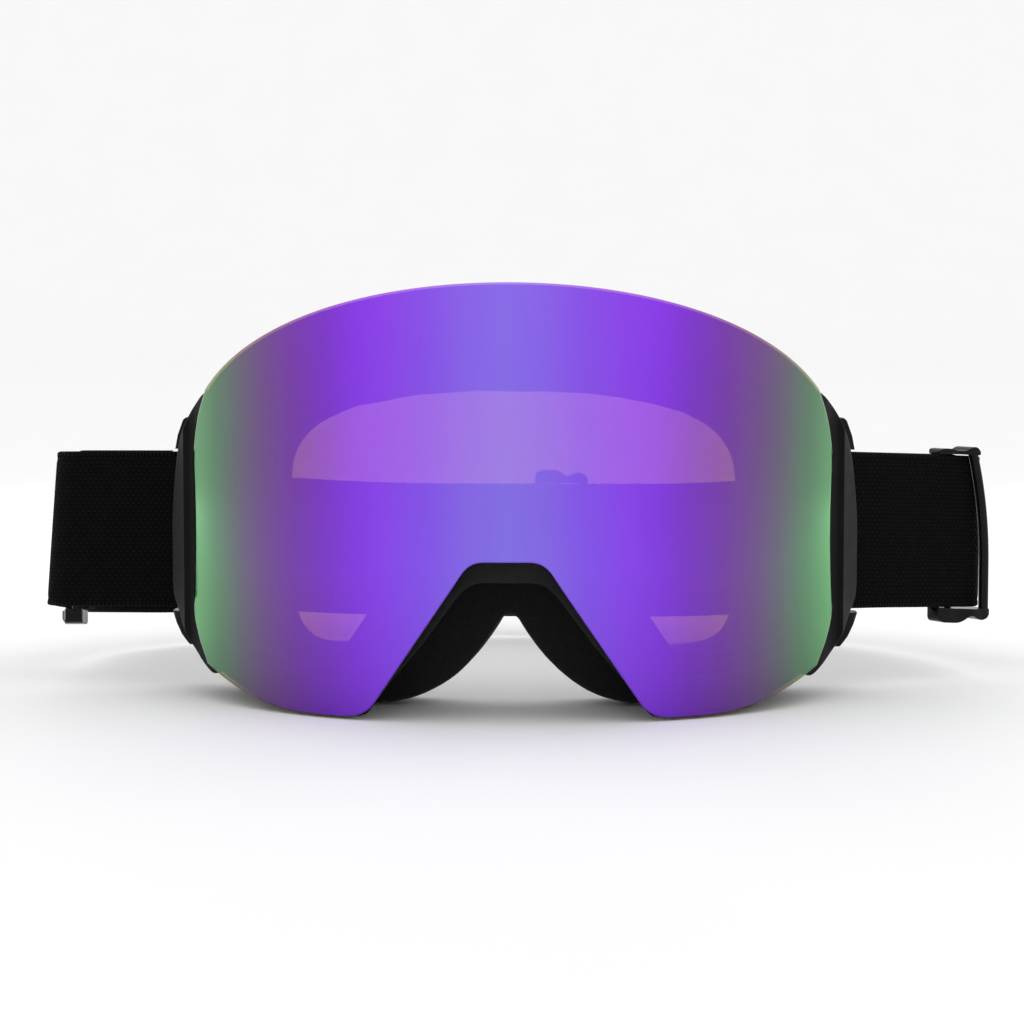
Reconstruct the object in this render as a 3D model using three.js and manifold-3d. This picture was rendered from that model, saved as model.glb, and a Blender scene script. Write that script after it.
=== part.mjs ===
// Ski goggles standing on the lower edge of their frame, with the head strap looped out behind.
// Units are millimetres. +Z is up, the lens looks along -Y and +X is to the right of it.
// "Depth" in this file is the distance behind the foremost point of the lens.
import * as THREE from 'three';
import { mergeVertices } from 'three/addons/utils/BufferGeometryUtils.js';
import Module from 'manifold-3d';

const wasm = await Module();
wasm.setup();

// ---------------------------------------------------------------- main dimensions
const HALF_LENGTH = 90; // the whole object runs from Y = -90 to Y = +90
const LENS_RADIUS = 95; // outside face of the cylindrical lens
const FRAME_REAR = { radius: 108, depth: 26 }; // where the frame meets the foam
const FACE = { radius: 115, depth: 46 }; // where the foam meets the face
const GAP = 0.3; // running gap left between pieces that touch

const WEB = { height: 40.6, thickness: 1.4 };
const PIN = { x: 85.5, depth: 66.1, radius: 1.6, bottom: 17, top: 64.4 };
const WRAP_RADIUS = PIN.radius + GAP + WEB.thickness / 2;
const INNER_LAYER = -2 * WRAP_RADIUS; // the returning layer, measured inwards from the band
const SLIDER = { front: 3.5, back: -3.9 };
const CENTRE_BAR = { offset: -2.9, radius: 0.9 };
const BAR_ENDS = [-20.9, 20.7]; // the bars of a slider end inside its rails

const RIGHT_LEG_ANGLE = 33; // degrees behind the X axis
const RIGHT_SLIDER_AT = 36.4; // distance from the pin along the right leg
const LEFT_SLIDER_DEPTH = 91;
const REAR_SLIDER_X = 10;
const REAR_DEPTH = 2 * HALF_LENGTH - SLIDER.front; // middle of the webbing at the back

// Height of the middle of the webbing at a given depth, on each side of the loop.
const LEFT_LEVELS = [
  [0, 41.4], [66, 41.4], [112, 34.365], [150, 30], [168, 28.8], [REAR_DEPTH, 26.3]];
const RIGHT_LEVELS = [
  [0, 41.4], [64, 41.4], [90, 39.2], [148, 32.4], [168, 29.5], [REAR_DEPTH, 26.3]];

// Magnets that hold the lens: X and Z of the right-hand three.
const MAGNETS = [[45, 92.3], [75.4, 44], [50, 6.2]];
const MAGNET_RADIUS = 90; // distance from the lens axis at which those X values hold

// ---------------------------------------------------------------- solid helpers
const radians = THREE.MathUtils.degToRad;

function toManifold(positions, triangles) {
  let volume = 0;
  for (let i = 0; i < triangles.length; i += 3) {
    const [a, b, c] = [0, 1, 2].map(
      (k) => new THREE.Vector3().fromArray(positions, triangles[i + k] * 3));
    volume += a.dot(b.cross(c));
  }
  const wound = volume > 0 ? triangles : [...triangles].reverse();
  return new wasm.Manifold(new wasm.Mesh({
    numProp: 3,
    vertProperties: new Float32Array(positions),
    triVerts: new Uint32Array(wound),
  }));
}

function fromGeometry(geometry) {
  geometry.deleteAttribute('normal');
  geometry.deleteAttribute('uv');
  const welded = mergeVertices(geometry, 1e-4);
  return toManifold([...welded.attributes.position.array], [...welded.index.array]);
}

// The points where a polygon turns, without those in the middle of a straight edge.
function corners(polygon) {
  return polygon.filter(([u, v], i) => {
    const [pu, pv] = polygon[(i + polygon.length - 1) % polygon.length];
    const [nu, nv] = polygon[(i + 1) % polygon.length];
    return Math.abs((u - pu) * (nv - v) - (v - pv) * (nu - u)) > 1e-6;
  });
}

// A polygon given in one plane, swept straight from one end to the other.
function sweep(polygon, place, from, to) {
  const contour = corners(polygon).map(([u, v]) => new THREE.Vector2(u, v));
  if (THREE.ShapeUtils.isClockWise(contour)) contour.reverse();
  const count = contour.length;
  const positions = [from, to].flatMap((w) => contour.flatMap((p) => place(p.x, p.y, w)));
  const triangles = [];
  for (const [a, b, c] of THREE.ShapeUtils.triangulateShape(contour, [])) {
    triangles.push(a, b, c);
    triangles.push(c + count, b + count, a + count);
  }
  for (let i = 0; i < count; i += 1) {
    const next = (i + 1) % count;
    triangles.push(next, i, i + count);
    triangles.push(next, i + count, next + count);
  }
  return toManifold(positions, triangles);
}

// Front-view polygon (x, z) swept through the whole depth of the object.
const frontPrism = (points) => sweep(points, (x, z, y) => [x, y, z], -110, 110);

// Plan-view polygon (x, depth) swept between two heights.
const planPrism = (points, bottom, top) =>
  sweep(points, (x, depth, z) => [x, depth - HALF_LENGTH, z], bottom, top);

// Rows of section points joined into a skin: a closed ring, or a bar with two end caps.
function loft(sections, closed) {
  const count = sections[0].length;
  const positions = sections.flat(2);
  const triangles = [];
  const last = closed ? sections.length : sections.length - 1;
  for (let i = 0; i < last; i += 1) {
    const here = i * count;
    const there = ((i + 1) % sections.length) * count;
    for (let j = 0; j < count; j += 1) {
      const k = (j + 1) % count;
      const span = (a, b) => new THREE.Vector3().fromArray(positions, a * 3)
        .distanceTo(new THREE.Vector3().fromArray(positions, b * 3));
      if (span(here + k, there + j) < span(here + j, there + k)) {
        triangles.push(here + j, here + k, there + j);
        triangles.push(there + j, here + k, there + k);
      } else {
        triangles.push(here + j, here + k, there + k);
        triangles.push(there + j, here + j, there + k);
      }
    }
  }
  if (!closed) {
    const end = (sections.length - 1) * count;
    for (let j = 1; j < count - 1; j += 1) {
      triangles.push(0, j + 1, j);
      triangles.push(end, end + j, end + j + 1);
    }
  }
  return toManifold(positions, triangles);
}

const box = (x, depth, z) => planPrism(
  [[x[0], depth[0]], [x[1], depth[0]], [x[1], depth[1]], [x[0], depth[1]]], z[0], z[1]);

const mirrored = (solid) => solid.mirror([1, 0, 0]);

// A round bar between two points given as [x, depth, z].
function rod(start, end, radius, sides = 16) {
  const [a, b] = [start, end].map(([x, depth, z]) => new THREE.Vector3(x, depth - HALF_LENGTH, z));
  const geometry = new THREE.CylinderGeometry(radius, radius, a.distanceTo(b), sides);
  const along = b.clone().sub(a).normalize();
  geometry.applyQuaternion(
    new THREE.Quaternion().setFromUnitVectors(new THREE.Vector3(0, 1, 0), along));
  geometry.translate(...a.add(b).multiplyScalar(0.5).toArray());
  return fromGeometry(geometry);
}

// ---------------------------------------------------------------- surfaces and outlines
// A vertical cylinder seen from above: the depth of its surface at each x.
const cylinder = (radius, apexDepth) =>
  (x) => apexDepth + radius - Math.sqrt(radius * radius - x * x);

// Surfaces that share the axis of the lens, named by their radius.
const lensShell = (radius) => cylinder(radius, LENS_RADIUS - radius);
const frameRear = cylinder(FRAME_REAR.radius, FRAME_REAR.depth);
const faceSurface = cylinder(FACE.radius, FACE.depth);
const shifted = (surface, distance) => (x) => surface(x) + distance;

// Everything between two such surfaces.
function slab(front, back) {
  const stations = [];
  for (let x = -84; x <= 84; x += 6) stations.push(x);
  const near = stations.map((x) => [x, front(x)]);
  const far = stations.map((x) => [x, Math.max(back(x), front(x) + 0.01)]).reverse();
  return planPrism([...near, ...far], -20, 130);
}

// The right half of an outline from top centre round to the nose, as lines and Bezier curves.
// Each piece is [number of divisions, points after the current one]. Mirrored into a full loop.
function outline(start, pieces) {
  let from = new THREE.Vector2(...start);
  const half = [from];
  for (const [divisions, ...points] of pieces) {
    const p = points.map((point) => new THREE.Vector2(...point));
    const curve = p.length === 1
      ? new THREE.LineCurve(from, p[0])
      : new THREE.CubicBezierCurve(from, p[0], p[1], p[2]);
    half.push(...curve.getPoints(divisions).slice(1));
    from = p[p.length - 1];
  }
  const right = half.map((p) => [p.x, p.y]);
  const left = half.slice(1, -1).reverse().map((p) => [-p.x, p.y]);
  return [...right, ...left];
}

function distanceToLoop([x, z], loop) {
  const p = new THREE.Vector3(x, 0, z);
  const near = new THREE.Vector3();
  return Math.min(...loop.map(([ax, az], i) => {
    const [bx, bz] = loop[(i + 1) % loop.length];
    const edge = new THREE.Line3(new THREE.Vector3(ax, 0, az), new THREE.Vector3(bx, 0, bz));
    return edge.closestPointToPoint(p, true, near).distanceTo(p);
  }));
}

// The loop moved inwards by a distance, or outwards when the distance is negative.
function inset(loop, distance) {
  const moved = loop.map(([x, z], i) => {
    const [px, pz] = loop[(i + loop.length - 1) % loop.length];
    const [nx, nz] = loop[(i + 1) % loop.length];
    const before = new THREE.Vector2(z - pz, px - x).normalize();
    const after = new THREE.Vector2(nz - z, x - nx).normalize();
    const mitre = before.clone().add(after).normalize();
    const reach = distance / Math.max(mitre.dot(after), 0.5);
    return [x + mitre.x * reach, z + mitre.y * reach];
  });
  const forwards = (i) => {
    const next = (i + 1) % loop.length;
    const was = new THREE.Vector2(loop[next][0] - loop[i][0], loop[next][1] - loop[i][1]);
    return was.dot({ x: moved[next][0] - moved[i][0], y: moved[next][1] - moved[i][1] }) > 0;
  };
  return moved.filter((p, i) => {
    const twin = (loop.length - i) % loop.length; // the same point of the right half
    return forwards(Math.min(i, twin)) && distanceToLoop(p, loop) > Math.abs(distance) - 0.05;
  });
}

const ring = (outer, inner) => frontPrism(outer).subtract(frontPrism(inner));

const LENS_LOOP = outline([0, 104.4], [
  [9, [34, 104.4], [64, 95], [76.7, 78.5]],
  [4, [79.6, 71.7], [81, 66], [80.8, 58]],
  [3, [80.3, 46], [80.3, 38], [81.1, 24]],
  [3, [81.1, 18], [79, 14.5], [76.7, 9.3]],
  [5, [68, 4.2], [60, 0.5], [46, 0.5]],
  [1, [41, 0.5]],
  [3, [36, 0.5], [33.6, 1.5], [31.5, 4.6]],
  [1, [11.2, 34.7]],
  [3, [9.5, 37.4], [8, 38.4], [5, 38.4]],
  [1, [0, 38.4]],
]);

const FRAME_LOOP = outline([0, 102.6], [
  [9, [33.5, 102.6], [62.6, 93.4], [75, 77.4]],
  [4, [78, 70], [79.3, 65], [79.2, 57]],
  [1, [79.3, 24]],
  [3, [79.3, 18.5], [77.4, 14.8], [75.2, 10.2]],
  [4, [69, 5.6], [63, 0], [57, 0]],
  [1, [37, 0]],
  [2, [35, 0], [34, 0.4], [33, 2]],
  [2, [29, 8.5], [24, 13.5], [20.5, 18]],
  [1, [12.6, 28.7]],
  [3, [10, 32], [8.5, 33], [5, 33]],
  [1, [0, 33]],
]);

// The foam's outer and inner edges have the same divisions, so they can be joined point by point.
const FOAM_OUTER = outline([0, 99.6], [
  [7, [31, 99.6], [60, 91], [72.6, 76]],
  [3, [76.4, 69.5], [77.6, 64], [77.6, 56]],
  [1, [77.6, 26]],
  [4, [77.6, 12], [70, 0.6], [56, 0.6]],
  [1, [30, 0.6]],
  [4, [17, 2], [8, 12], [3, 20.5]],
  [3, [2, 22.5], [1, 23], [0, 23]],
]);

const FOAM_INNER = outline([0, 78.6], [
  [7, [20, 78.6], [44, 76.5], [53, 66.8]],
  [3, [56.5, 63], [57.3, 58], [57.3, 50]],
  [1, [57.3, 32]],
  [4, [57.3, 20], [54, 13.5], [45, 13.5]],
  [1, [40, 13.5]],
  [4, [30, 13.5], [24, 22], [19, 30]],
  [3, [14, 38], [8, 42], [0, 42]],
]);

// Inner edge of the firm layer and of the frame's opening: wider than the pad at its top corners.
const BASE_INNER = outline([0, 78.6], [
  [7, [24, 78.6], [46, 79.6], [56, 75.6]],
  [3, [58.6, 70], [57.8, 60], [57.3, 50]],
  [1, [57.3, 32]],
  [4, [57.3, 20], [54, 13.5], [45, 13.5]],
  [1, [40, 13.5]],
  [4, [30, 13.5], [24, 22], [19, 30]],
  [3, [14, 38], [8, 42], [0, 42]],
]);

// ---------------------------------------------------------------- lens
const lensPlate = (loop, outside, inside) =>
  frontPrism(loop).intersect(slab(lensShell(outside), lensShell(inside)));

// A short cylinder pointing at the axis of the lens, between two radii from that axis.
function radialDisc(x, z, radius, inside, outside) {
  const angle = Math.asin(x / MAGNET_RADIUS);
  const at = (r) => [r * Math.sin(angle), LENS_RADIUS - r * Math.cos(angle), z];
  return rod(at(inside), at(outside), radius, 14);
}

const magnetSpots = MAGNETS.flatMap(([x, z]) => [[x, z], [-x, z]]);

function drilled(solid, radius, inside, outside) {
  return magnetSpots.reduce(
    (rest, [x, z]) => rest.subtract(radialDisc(x, z, radius, inside, outside)), solid);
}

function lensCarrier() {
  const body = ring(inset(LENS_LOOP, 2), inset(LENS_LOOP, 9))
    .intersect(slab(lensShell(93.3), lensShell(89.2)));
  return drilled(body, 2.3, 87, 91.8);
}

const lensGasket = () => ring(inset(LENS_LOOP, 9.6), inset(LENS_LOOP, 13.4))
  .intersect(slab(lensShell(93.3), lensShell(91.5)));

// ---------------------------------------------------------------- frame
const FRAME_FRONT = lensShell(88.8);
const FLANGE_BACK = lensShell(86.3);
const REAR_FLANGE = shifted(frameRear, -2.2);

// A vent slot through the wall of the frame at x, following the curve of the front.
function ventCutter(x, z, width, height, tilt) {
  const depth = (FLANGE_BACK(x) + REAR_FLANGE(x)) / 2;
  const run = (REAR_FLANGE(x) - FLANGE_BACK(x)) * 0.62;
  const geometry = new THREE.BoxGeometry(width, run, height);
  geometry.rotateY(radians(tilt));
  geometry.rotateZ(Math.asin(x / LENS_RADIUS));
  geometry.translate(x, depth - HALF_LENGTH, z);
  return fromGeometry(geometry);
}

function mainFrame() {
  const block = frontPrism(FRAME_LOOP).intersect(slab(FRAME_FRONT, frameRear));
  const lensOpening = frontPrism(inset(LENS_LOOP, 10.5))
    .intersect(slab(shifted(FRAME_FRONT, -3), shifted(FLANGE_BACK, 0.2)));
  const faceOpening = frontPrism(inset(BASE_INNER, -1.6))
    .intersect(slab(shifted(REAR_FLANGE, -0.4), shifted(frameRear, 3)));
  const channel = frontPrism(inset(FRAME_LOOP, 2.6)).intersect(slab(FLANGE_BACK, REAR_FLANGE));
  let body = block.subtract(lensOpening).subtract(faceOpening).subtract(channel);
  for (const x of [-41, -21, 0, 21, 41]) {
    body = body.subtract(ventCutter(x, 100, 14, 22, 0));
  }
  for (const side of [-1, 1]) {
    body = body.subtract(ventCutter(64 * side, 2.5, 9, 9, -28 * side));
  }
  return drilled(body, 2.3, 87.1, 90);
}

// Filter foam behind the vents: a strip of the frame's inner wall between two x limits.
function ventFoam(x, z) {
  const strip = ring(inset(FRAME_LOOP, 2.9), inset(FRAME_LOOP, 6.9));
  return strip
    .intersect(slab(shifted(FLANGE_BACK, GAP), shifted(REAR_FLANGE, -GAP)))
    .intersect(box(x, [0, 100], z));
}

// ---------------------------------------------------------------- strap mounts at the sides
const WING_FRONT_VIEW = [
  [70, 8], [75.6, 6.6], [78.8, 8.8], [82, 12.2], [84.4, 15.4], [86.5, 20.4], [88.6, 25.6],
  [88.8, 43.2], [88.2, 51], [87.3, 58.4], [86, 64.6], [84.1, 69.2], [82, 72.8],
  [79.2, 76.2], [76.9, 78.1], [70, 78],
];

const WING_PLAN = [
  [70, 33.8], [74, 38.7], [77, 42.9], [79, 46], [81, 49.5], [82.8, 51.6], [84.5, 52.4],
  [86, 55.4], [88.4, 59.6], [89, 61.2], [80, 61.2], [77, 58.8], [74, 56], [70, 52.5],
];

const SCREW = { x: 81.6, heights: [15.8, 66.4] };

function sideWing() {
  let body = planPrism(WING_PLAN, 0, 90)
    .intersect(frontPrism(WING_FRONT_VIEW))
    .subtract(frontPrism(inset(FRAME_LOOP, -0.4)));
  for (const z of SCREW.heights) {
    body = body.subtract(rod([SCREW.x, 55.4, z], [SCREW.x, 65, z], 1.4, 12));
  }
  return body;
}

// Outline of a clip seen from the front, rounded off at the ends of its lugs.
const CLIP_FRONT_VIEW = [
  [70, 11.2], [84.6, 11.2], [86.7, 14], [88.2, 17], [89.3, 20], [90, 26], [90, 48], [88.9, 58],
  [88.2, 62], [87.4, 66], [85.9, 70], [85.2, 70.6], [70, 70.6],
];

// A C-shaped clip: two lugs that hold the ends of the strap pin, joined by a spine.
function strapClip() {
  const nose = new THREE.EllipseCurve(
    PIN.x, PIN.depth, 4.5, 4.5, -Math.PI / 2, Math.PI / 2, false).getPoints(10);
  const plan = [[78.9, PIN.depth - 4.5], ...nose.map((p) => [p.x, p.y]), [78.9, PIN.depth + 4.5]];
  let body = planPrism(plan, 11.2, 70.6)
    .intersect(frontPrism(CLIP_FRONT_VIEW))
    .subtract(box([81.5, 95], [55, 80], [20, 62.4]))
    .subtract(rod([PIN.x, PIN.depth, PIN.bottom - 0.4], [PIN.x, PIN.depth, PIN.top + 0.4],
      PIN.radius + GAP, 16));
  for (const z of SCREW.heights) {
    body = body
      .subtract(rod([SCREW.x, 50, z], [SCREW.x, 75, z], 1.4, 12))
      .subtract(rod([SCREW.x, 68.7, z], [SCREW.x, 75, z], 2.2, 12));
  }
  return body;
}

const strapPin = () => rod(
  [PIN.x, PIN.depth, PIN.bottom], [PIN.x, PIN.depth, PIN.top], PIN.radius, 16);

function clipScrew(z) {
  return rod([SCREW.x, 56, z], [SCREW.x, 69.2, z], 1.1, 12)
    .add(rod([SCREW.x, 69, z], [SCREW.x, 70.5, z], 1.9, 12))
    .subtract(rod([SCREW.x, 69.5, z], [SCREW.x, 72, z], 1.0, 6));
}

// ---------------------------------------------------------------- foam against the face
// section: corners as [across, through], both running 0 to 1 between the foam's edges.
function foamRing(section, inner = FOAM_INNER) {
  const sections = FOAM_OUTER.map(([ox, oz], i) => {
    const [ix, iz] = inner[i];
    return section.map(([across, through]) => {
      const x = THREE.MathUtils.lerp(ox, ix, across);
      const z = THREE.MathUtils.lerp(oz, iz, across);
      const depth = THREE.MathUtils.lerp(frameRear(x), faceSurface(x), through);
      return [x, depth - HALF_LENGTH, z];
    });
  });
  return loft(sections, true);
}

// ---------------------------------------------------------------- strap
// Follows moves from a point and returns plan points as [x, depth].
// go: distance. turn: radius, degrees (left is positive). curve: end point, end heading, pulls.
function walk(start, headingDegrees, moves) {
  let position = new THREE.Vector2(...start);
  let heading = radians(headingDegrees);
  const points = [position];
  const along = (angle, length) =>
    new THREE.Vector2(Math.cos(angle) * length, Math.sin(angle) * length);
  for (const move of moves) {
    if (move.go) {
      points.push(position.clone().add(along(heading, move.go)));
    } else if (move.turn) {
      const [radius, degrees] = move.turn;
      const side = Math.sign(degrees) * Math.PI / 2;
      const centre = position.clone().add(along(heading + side, radius));
      const steps = Math.ceil(Math.abs(degrees) / 18);
      for (let i = 1; i <= steps; i += 1) {
        const angle = heading - side + radians(degrees) * i / steps;
        points.push(centre.clone().add(along(angle, radius)));
      }
      heading += radians(degrees);
    } else {
      const { end, endHeading, pulls } = move.curve;
      const target = new THREE.Vector2(...end);
      const curve = new THREE.CubicBezierCurve(
        position,
        position.clone().add(along(heading, pulls[0])),
        target.clone().sub(along(radians(endHeading), pulls[1])),
        target);
      points.push(...curve.getPoints(14).slice(1));
      heading = radians(endHeading);
    }
    position = points[points.length - 1];
  }
  return points.map((p) => [p.x, p.y]);
}

const LEFT_LEG_END = 112; // depth where the straight part behind the left fold ends
const REAR_LEG = [-18, 38]; // X limits of the straight part at the back

// From beside the left pin, round it, out to the fold, and back to the middle of the rear.
const LEFT_PATH = walk([-PIN.x - 4, PIN.depth + WRAP_RADIUS], 0, [
  { go: 4 },
  { turn: [WRAP_RADIUS, -180] },
  { go: 114.85 - PIN.x },
  { turn: [6.5, -90] },
  { go: LEFT_LEG_END - 70 },
  { curve: { end: [REAR_LEG[0], REAR_DEPTH], endHeading: 0, pulls: [38, 62] } },
  { go: 14 },
]);

const rightTangent = [Math.cos(radians(RIGHT_LEG_ANGLE)), Math.sin(radians(RIGHT_LEG_ANGLE))];

// From beside the right pin, round it, out along the leg, and back to the middle of the rear.
const RIGHT_PATH = walk(
  [
    PIN.x - WRAP_RADIUS * rightTangent[1] + 4 * rightTangent[0],
    PIN.depth + WRAP_RADIUS * rightTangent[0] + 4 * rightTangent[1],
  ],
  180 + RIGHT_LEG_ANGLE,
  [
    { go: 4 },
    { turn: [WRAP_RADIUS, 180] },
    { go: RIGHT_SLIDER_AT + 4.6 },
    { turn: [6, 62] },
    { curve: { end: [REAR_LEG[1], REAR_DEPTH], endHeading: 180, pulls: [46, 58] } },
  ]);

function levelAt(levels, depth) {
  const i = Math.max(1, levels.findIndex(([d]) => depth <= d));
  const [d0, z0] = levels[i - 1];
  const [d1, z1] = levels[i];
  return THREE.MathUtils.mapLinear(depth, d0, d1, z0, z1);
}

// Stations of a path: plan point, height of the middle, and the normal away from the head.
function stations(path, levels, outward) {
  return path.map(([x, depth], i) => {
    const before = new THREE.Vector2(...path[Math.max(i - 1, 0)]);
    const here = new THREE.Vector2(x, depth);
    const after = new THREE.Vector2(...path[Math.min(i + 1, path.length - 1)]);
    const arriving = (i > 0 ? here.clone().sub(before) : after.clone().sub(here)).normalize();
    const leaving = (i < path.length - 1 ? after.sub(here) : arriving.clone()).normalize();
    const tangent = arriving.add(leaving).normalize();
    const stretch = 1 / Math.max(tangent.dot(leaving), 0.8);
    return {
      x,
      depth,
      z: levelAt(levels, Math.min(depth, REAR_DEPTH)),
      normal: [-tangent.y * outward * stretch, tangent.x * outward * stretch],
    };
  });
}

const LEFT_STATIONS = stations(LEFT_PATH, LEFT_LEVELS, 1);
const RIGHT_STATIONS = stations(RIGHT_PATH, RIGHT_LEVELS, -1);

// A strip of webbing along stations, between two offsets from the band and two heights.
function ribbon(list, offsets, heights) {
  const corner = (s, offset, height) => [
    s.x + s.normal[0] * offset,
    s.depth + s.normal[1] * offset - HALF_LENGTH,
    s.z + height,
  ];
  return loft(list.map((s) => [
    corner(s, offsets[1], heights[1]),
    corner(s, offsets[0], heights[1]),
    corner(s, offsets[0], heights[0]),
    corner(s, offsets[1], heights[0]),
  ]), false);
}

const HALF_WEB = [-WEB.thickness / 2, WEB.thickness / 2];
const WEB_EDGES = [-WEB.height / 2, WEB.height / 2];
const bandStations = [...LEFT_STATIONS, ...[...RIGHT_STATIONS].reverse()];
const strapBand = () => ribbon(bandStations, HALF_WEB, WEB_EDGES);

// A station moved along its own straight leg.
function travelled(leg, distance) {
  return {
    x: leg.x + leg.tangent[0] * distance,
    depth: leg.depth + leg.tangent[1] * distance,
    z: leg.z + leg.slope * distance,
    normal: leg.normal,
  };
}

// Straight legs on which the sliders travel, each centred on its slider at rest.
// tangent points away from the frame, and slope is the rise of the webbing per millimetre.
const RIGHT_LEG = {
  x: PIN.x + WRAP_RADIUS * rightTangent[1] + RIGHT_SLIDER_AT * rightTangent[0],
  depth: PIN.depth - WRAP_RADIUS * rightTangent[0] + RIGHT_SLIDER_AT * rightTangent[1],
  tangent: rightTangent,
  normal: [rightTangent[1], -rightTangent[0]],
};
const LEFT_LEG = {
  x: LEFT_PATH.find(([, depth]) => Math.abs(depth - LEFT_LEG_END) < 0.5)[0],
  depth: LEFT_SLIDER_DEPTH,
  tangent: [0, 1],
  normal: [-1, 0],
};
const REAR_SPOT = {
  x: REAR_SLIDER_X, depth: REAR_DEPTH, tangent: [1, 0], normal: [0, 1],
};
for (const [leg, levels] of
  [[RIGHT_LEG, RIGHT_LEVELS], [LEFT_LEG, LEFT_LEVELS], [REAR_SPOT, LEFT_LEVELS]]) {
  const ahead = Math.min(leg.depth + leg.tangent[1], REAR_DEPTH);
  leg.z = levelAt(levels, leg.depth);
  leg.slope = levelAt(levels, ahead) - leg.z;
}

const LOOP_TONGUE = 8; // how far the sewn end reaches back from the centre bar

// The returning layer, from the end of the turn round the pin to the sewn end at the slider.
function leftTail() {
  const first = {
    x: -PIN.x - 4 - GAP,
    depth: PIN.depth - WRAP_RADIUS,
    z: LEFT_LEVELS[0][1],
    normal: [0, -1],
  };
  const curve = LEFT_STATIONS
    .filter((s) => s.x < -PIN.x - 5 && s.depth < LEFT_SLIDER_DEPTH - LOOP_TONGUE - 0.5);
  const last = travelled(LEFT_LEG, -LOOP_TONGUE - GAP);
  return ribbon([first, ...curve, last], layerOffsets(), WEB_EDGES);
}

function rightTail() {
  const first = travelled(RIGHT_LEG, -RIGHT_SLIDER_AT + 4 + GAP);
  return ribbon([first, travelled(RIGHT_LEG, -LOOP_TONGUE - GAP)], layerOffsets(), WEB_EDGES);
}

function layerOffsets() {
  return HALF_WEB.map((t) => INNER_LAYER + t);
}

// Places a solid made in strap coordinates (along, outwards, up) onto a leg.
function onLeg(solid, leg) {
  const [tx, ty] = leg.tangent;
  const [nx, ny] = leg.normal;
  return solid.transform([
    tx, ty, leg.slope, 0,
    nx, ny, 0, 0,
    0, 0, 1, 0,
    leg.x, leg.depth - HALF_LENGTH, leg.z, 1,
  ]);
}

const strapPrism = (points, bottom, top) => sweep(points, (s, n, w) => [s, n, w], bottom, top);
const strapBox = (s, n, w) =>
  strapPrism([[s[0], n[0]], [s[1], n[0]], [s[1], n[1]], [s[0], n[1]]], w[0], w[1]);

// Sewn end of the returning layer, closed round the slider's centre bar.
function tailLoop() {
  const nose = new THREE.EllipseCurve(
    0, CENTRE_BAR.offset, 1.85, 1.85, 0, Math.PI, false).getPoints(8);
  const [back, front] = layerOffsets();
  const plan = [
    [1.85, back], ...nose.map((p) => [p.x, p.y]), [-1.85, front],
    [-LOOP_TONGUE, front], [-LOOP_TONGUE, back],
  ];
  const eye = new THREE.EllipseCurve(
    0, CENTRE_BAR.offset, 1.15, 1.15, 0, 2 * Math.PI, false).getPoints(12).slice(0, -1);
  return strapPrism(plan, WEB_EDGES[0], WEB_EDGES[1])
    .subtract(strapPrism(eye.map((p) => [p.x, p.y]), -30, 30));
}

// Three-bar slider: the band runs in front of the inner and centre bars, behind the outer one.
// The rail below the band is thick. The outer bar bows in towards the thin rail above it.
function slider() {
  const endView = strapPrism(
    [[-6.5, -3], [-5.8, -3.9], [2, -3.9], [9.3, -1.2], [9.3, 2.8], [8.6, 3.5], [3.5, 3.5],
      [0, 1.8], [-6.5, 0.6]], -30, 30);
  const rail = (points) =>
    sweep(points, (s, w, n) => [s, n, w], SLIDER.back, SLIDER.front).intersect(endView);
  const thickRail = rail([
    [-6.5, -20.7], [-6.3, -23.2], [-5.2, -24.3], [-0.4, -24.5], [1.2, -23.9], [2.4, -22.9],
    [3.6, -22.7], [5.8, -23.6], [7.4, -23.5], [8.8, -22.6], [9.3, -20.7]]);
  const thinRail = rail([
    [-6.5, 20.5], [-6.4, 21.3], [-5.2, 21.9], [-2.6, 21.9], [-1, 21.5], [1.2, 21.5],
    [2.6, 22.3], [3.8, 22.6], [5.1, 21.8], [5.1, 20.5]]);
  const innerBar = strapPrism(
    [[-6.5, -3], [-5.8, -3.6], [-4.6, -3.6], [-4.2, -3], [-4.2, -1.6], [-4.7, -1.1], [-5.9, -1.1],
      [-6.5, -1.7]], ...BAR_ENDS);
  const bar = new THREE.EllipseCurve(
    0, CENTRE_BAR.offset, CENTRE_BAR.radius, CENTRE_BAR.radius, 0, 2 * Math.PI, false)
    .getPoints(10).slice(0, -1);
  const centreBar = strapPrism(bar.map((p) => [p.x, p.y]), ...BAR_ENDS);
  const outerBarSection = [
    [6.8, 1.6], [7.4, 1.1], [8.7, 1.1], [9.3, 1.7], [9.3, 2.8], [8.6, 3.5], [7.5, 3.5], [6.8, 2.9]];
  const bow = (w) => -4.6 * (Math.max(w + 8, 0) / 30) ** 2;
  const outerBar = loft(
    [BAR_ENDS[0], -8, -1, 6, 13, BAR_ENDS[1]].map(
      (w) => outerBarSection.map(([s, n]) => [s + bow(w), n, w])),
    false);
  return thickRail.add(thinRail).add(innerBar).add(centreBar).add(outerBar);
}

// Silicone strip on the inside of the band, between two depths of one side's rear curve.
function gripStrip(list, middle) {
  const part = list.filter((s) => s.depth > 116 && Math.abs(s.x) > 48);
  return ribbon(part, [-1.5, -1], [middle - 2.5, middle + 2.5]);
}

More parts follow.
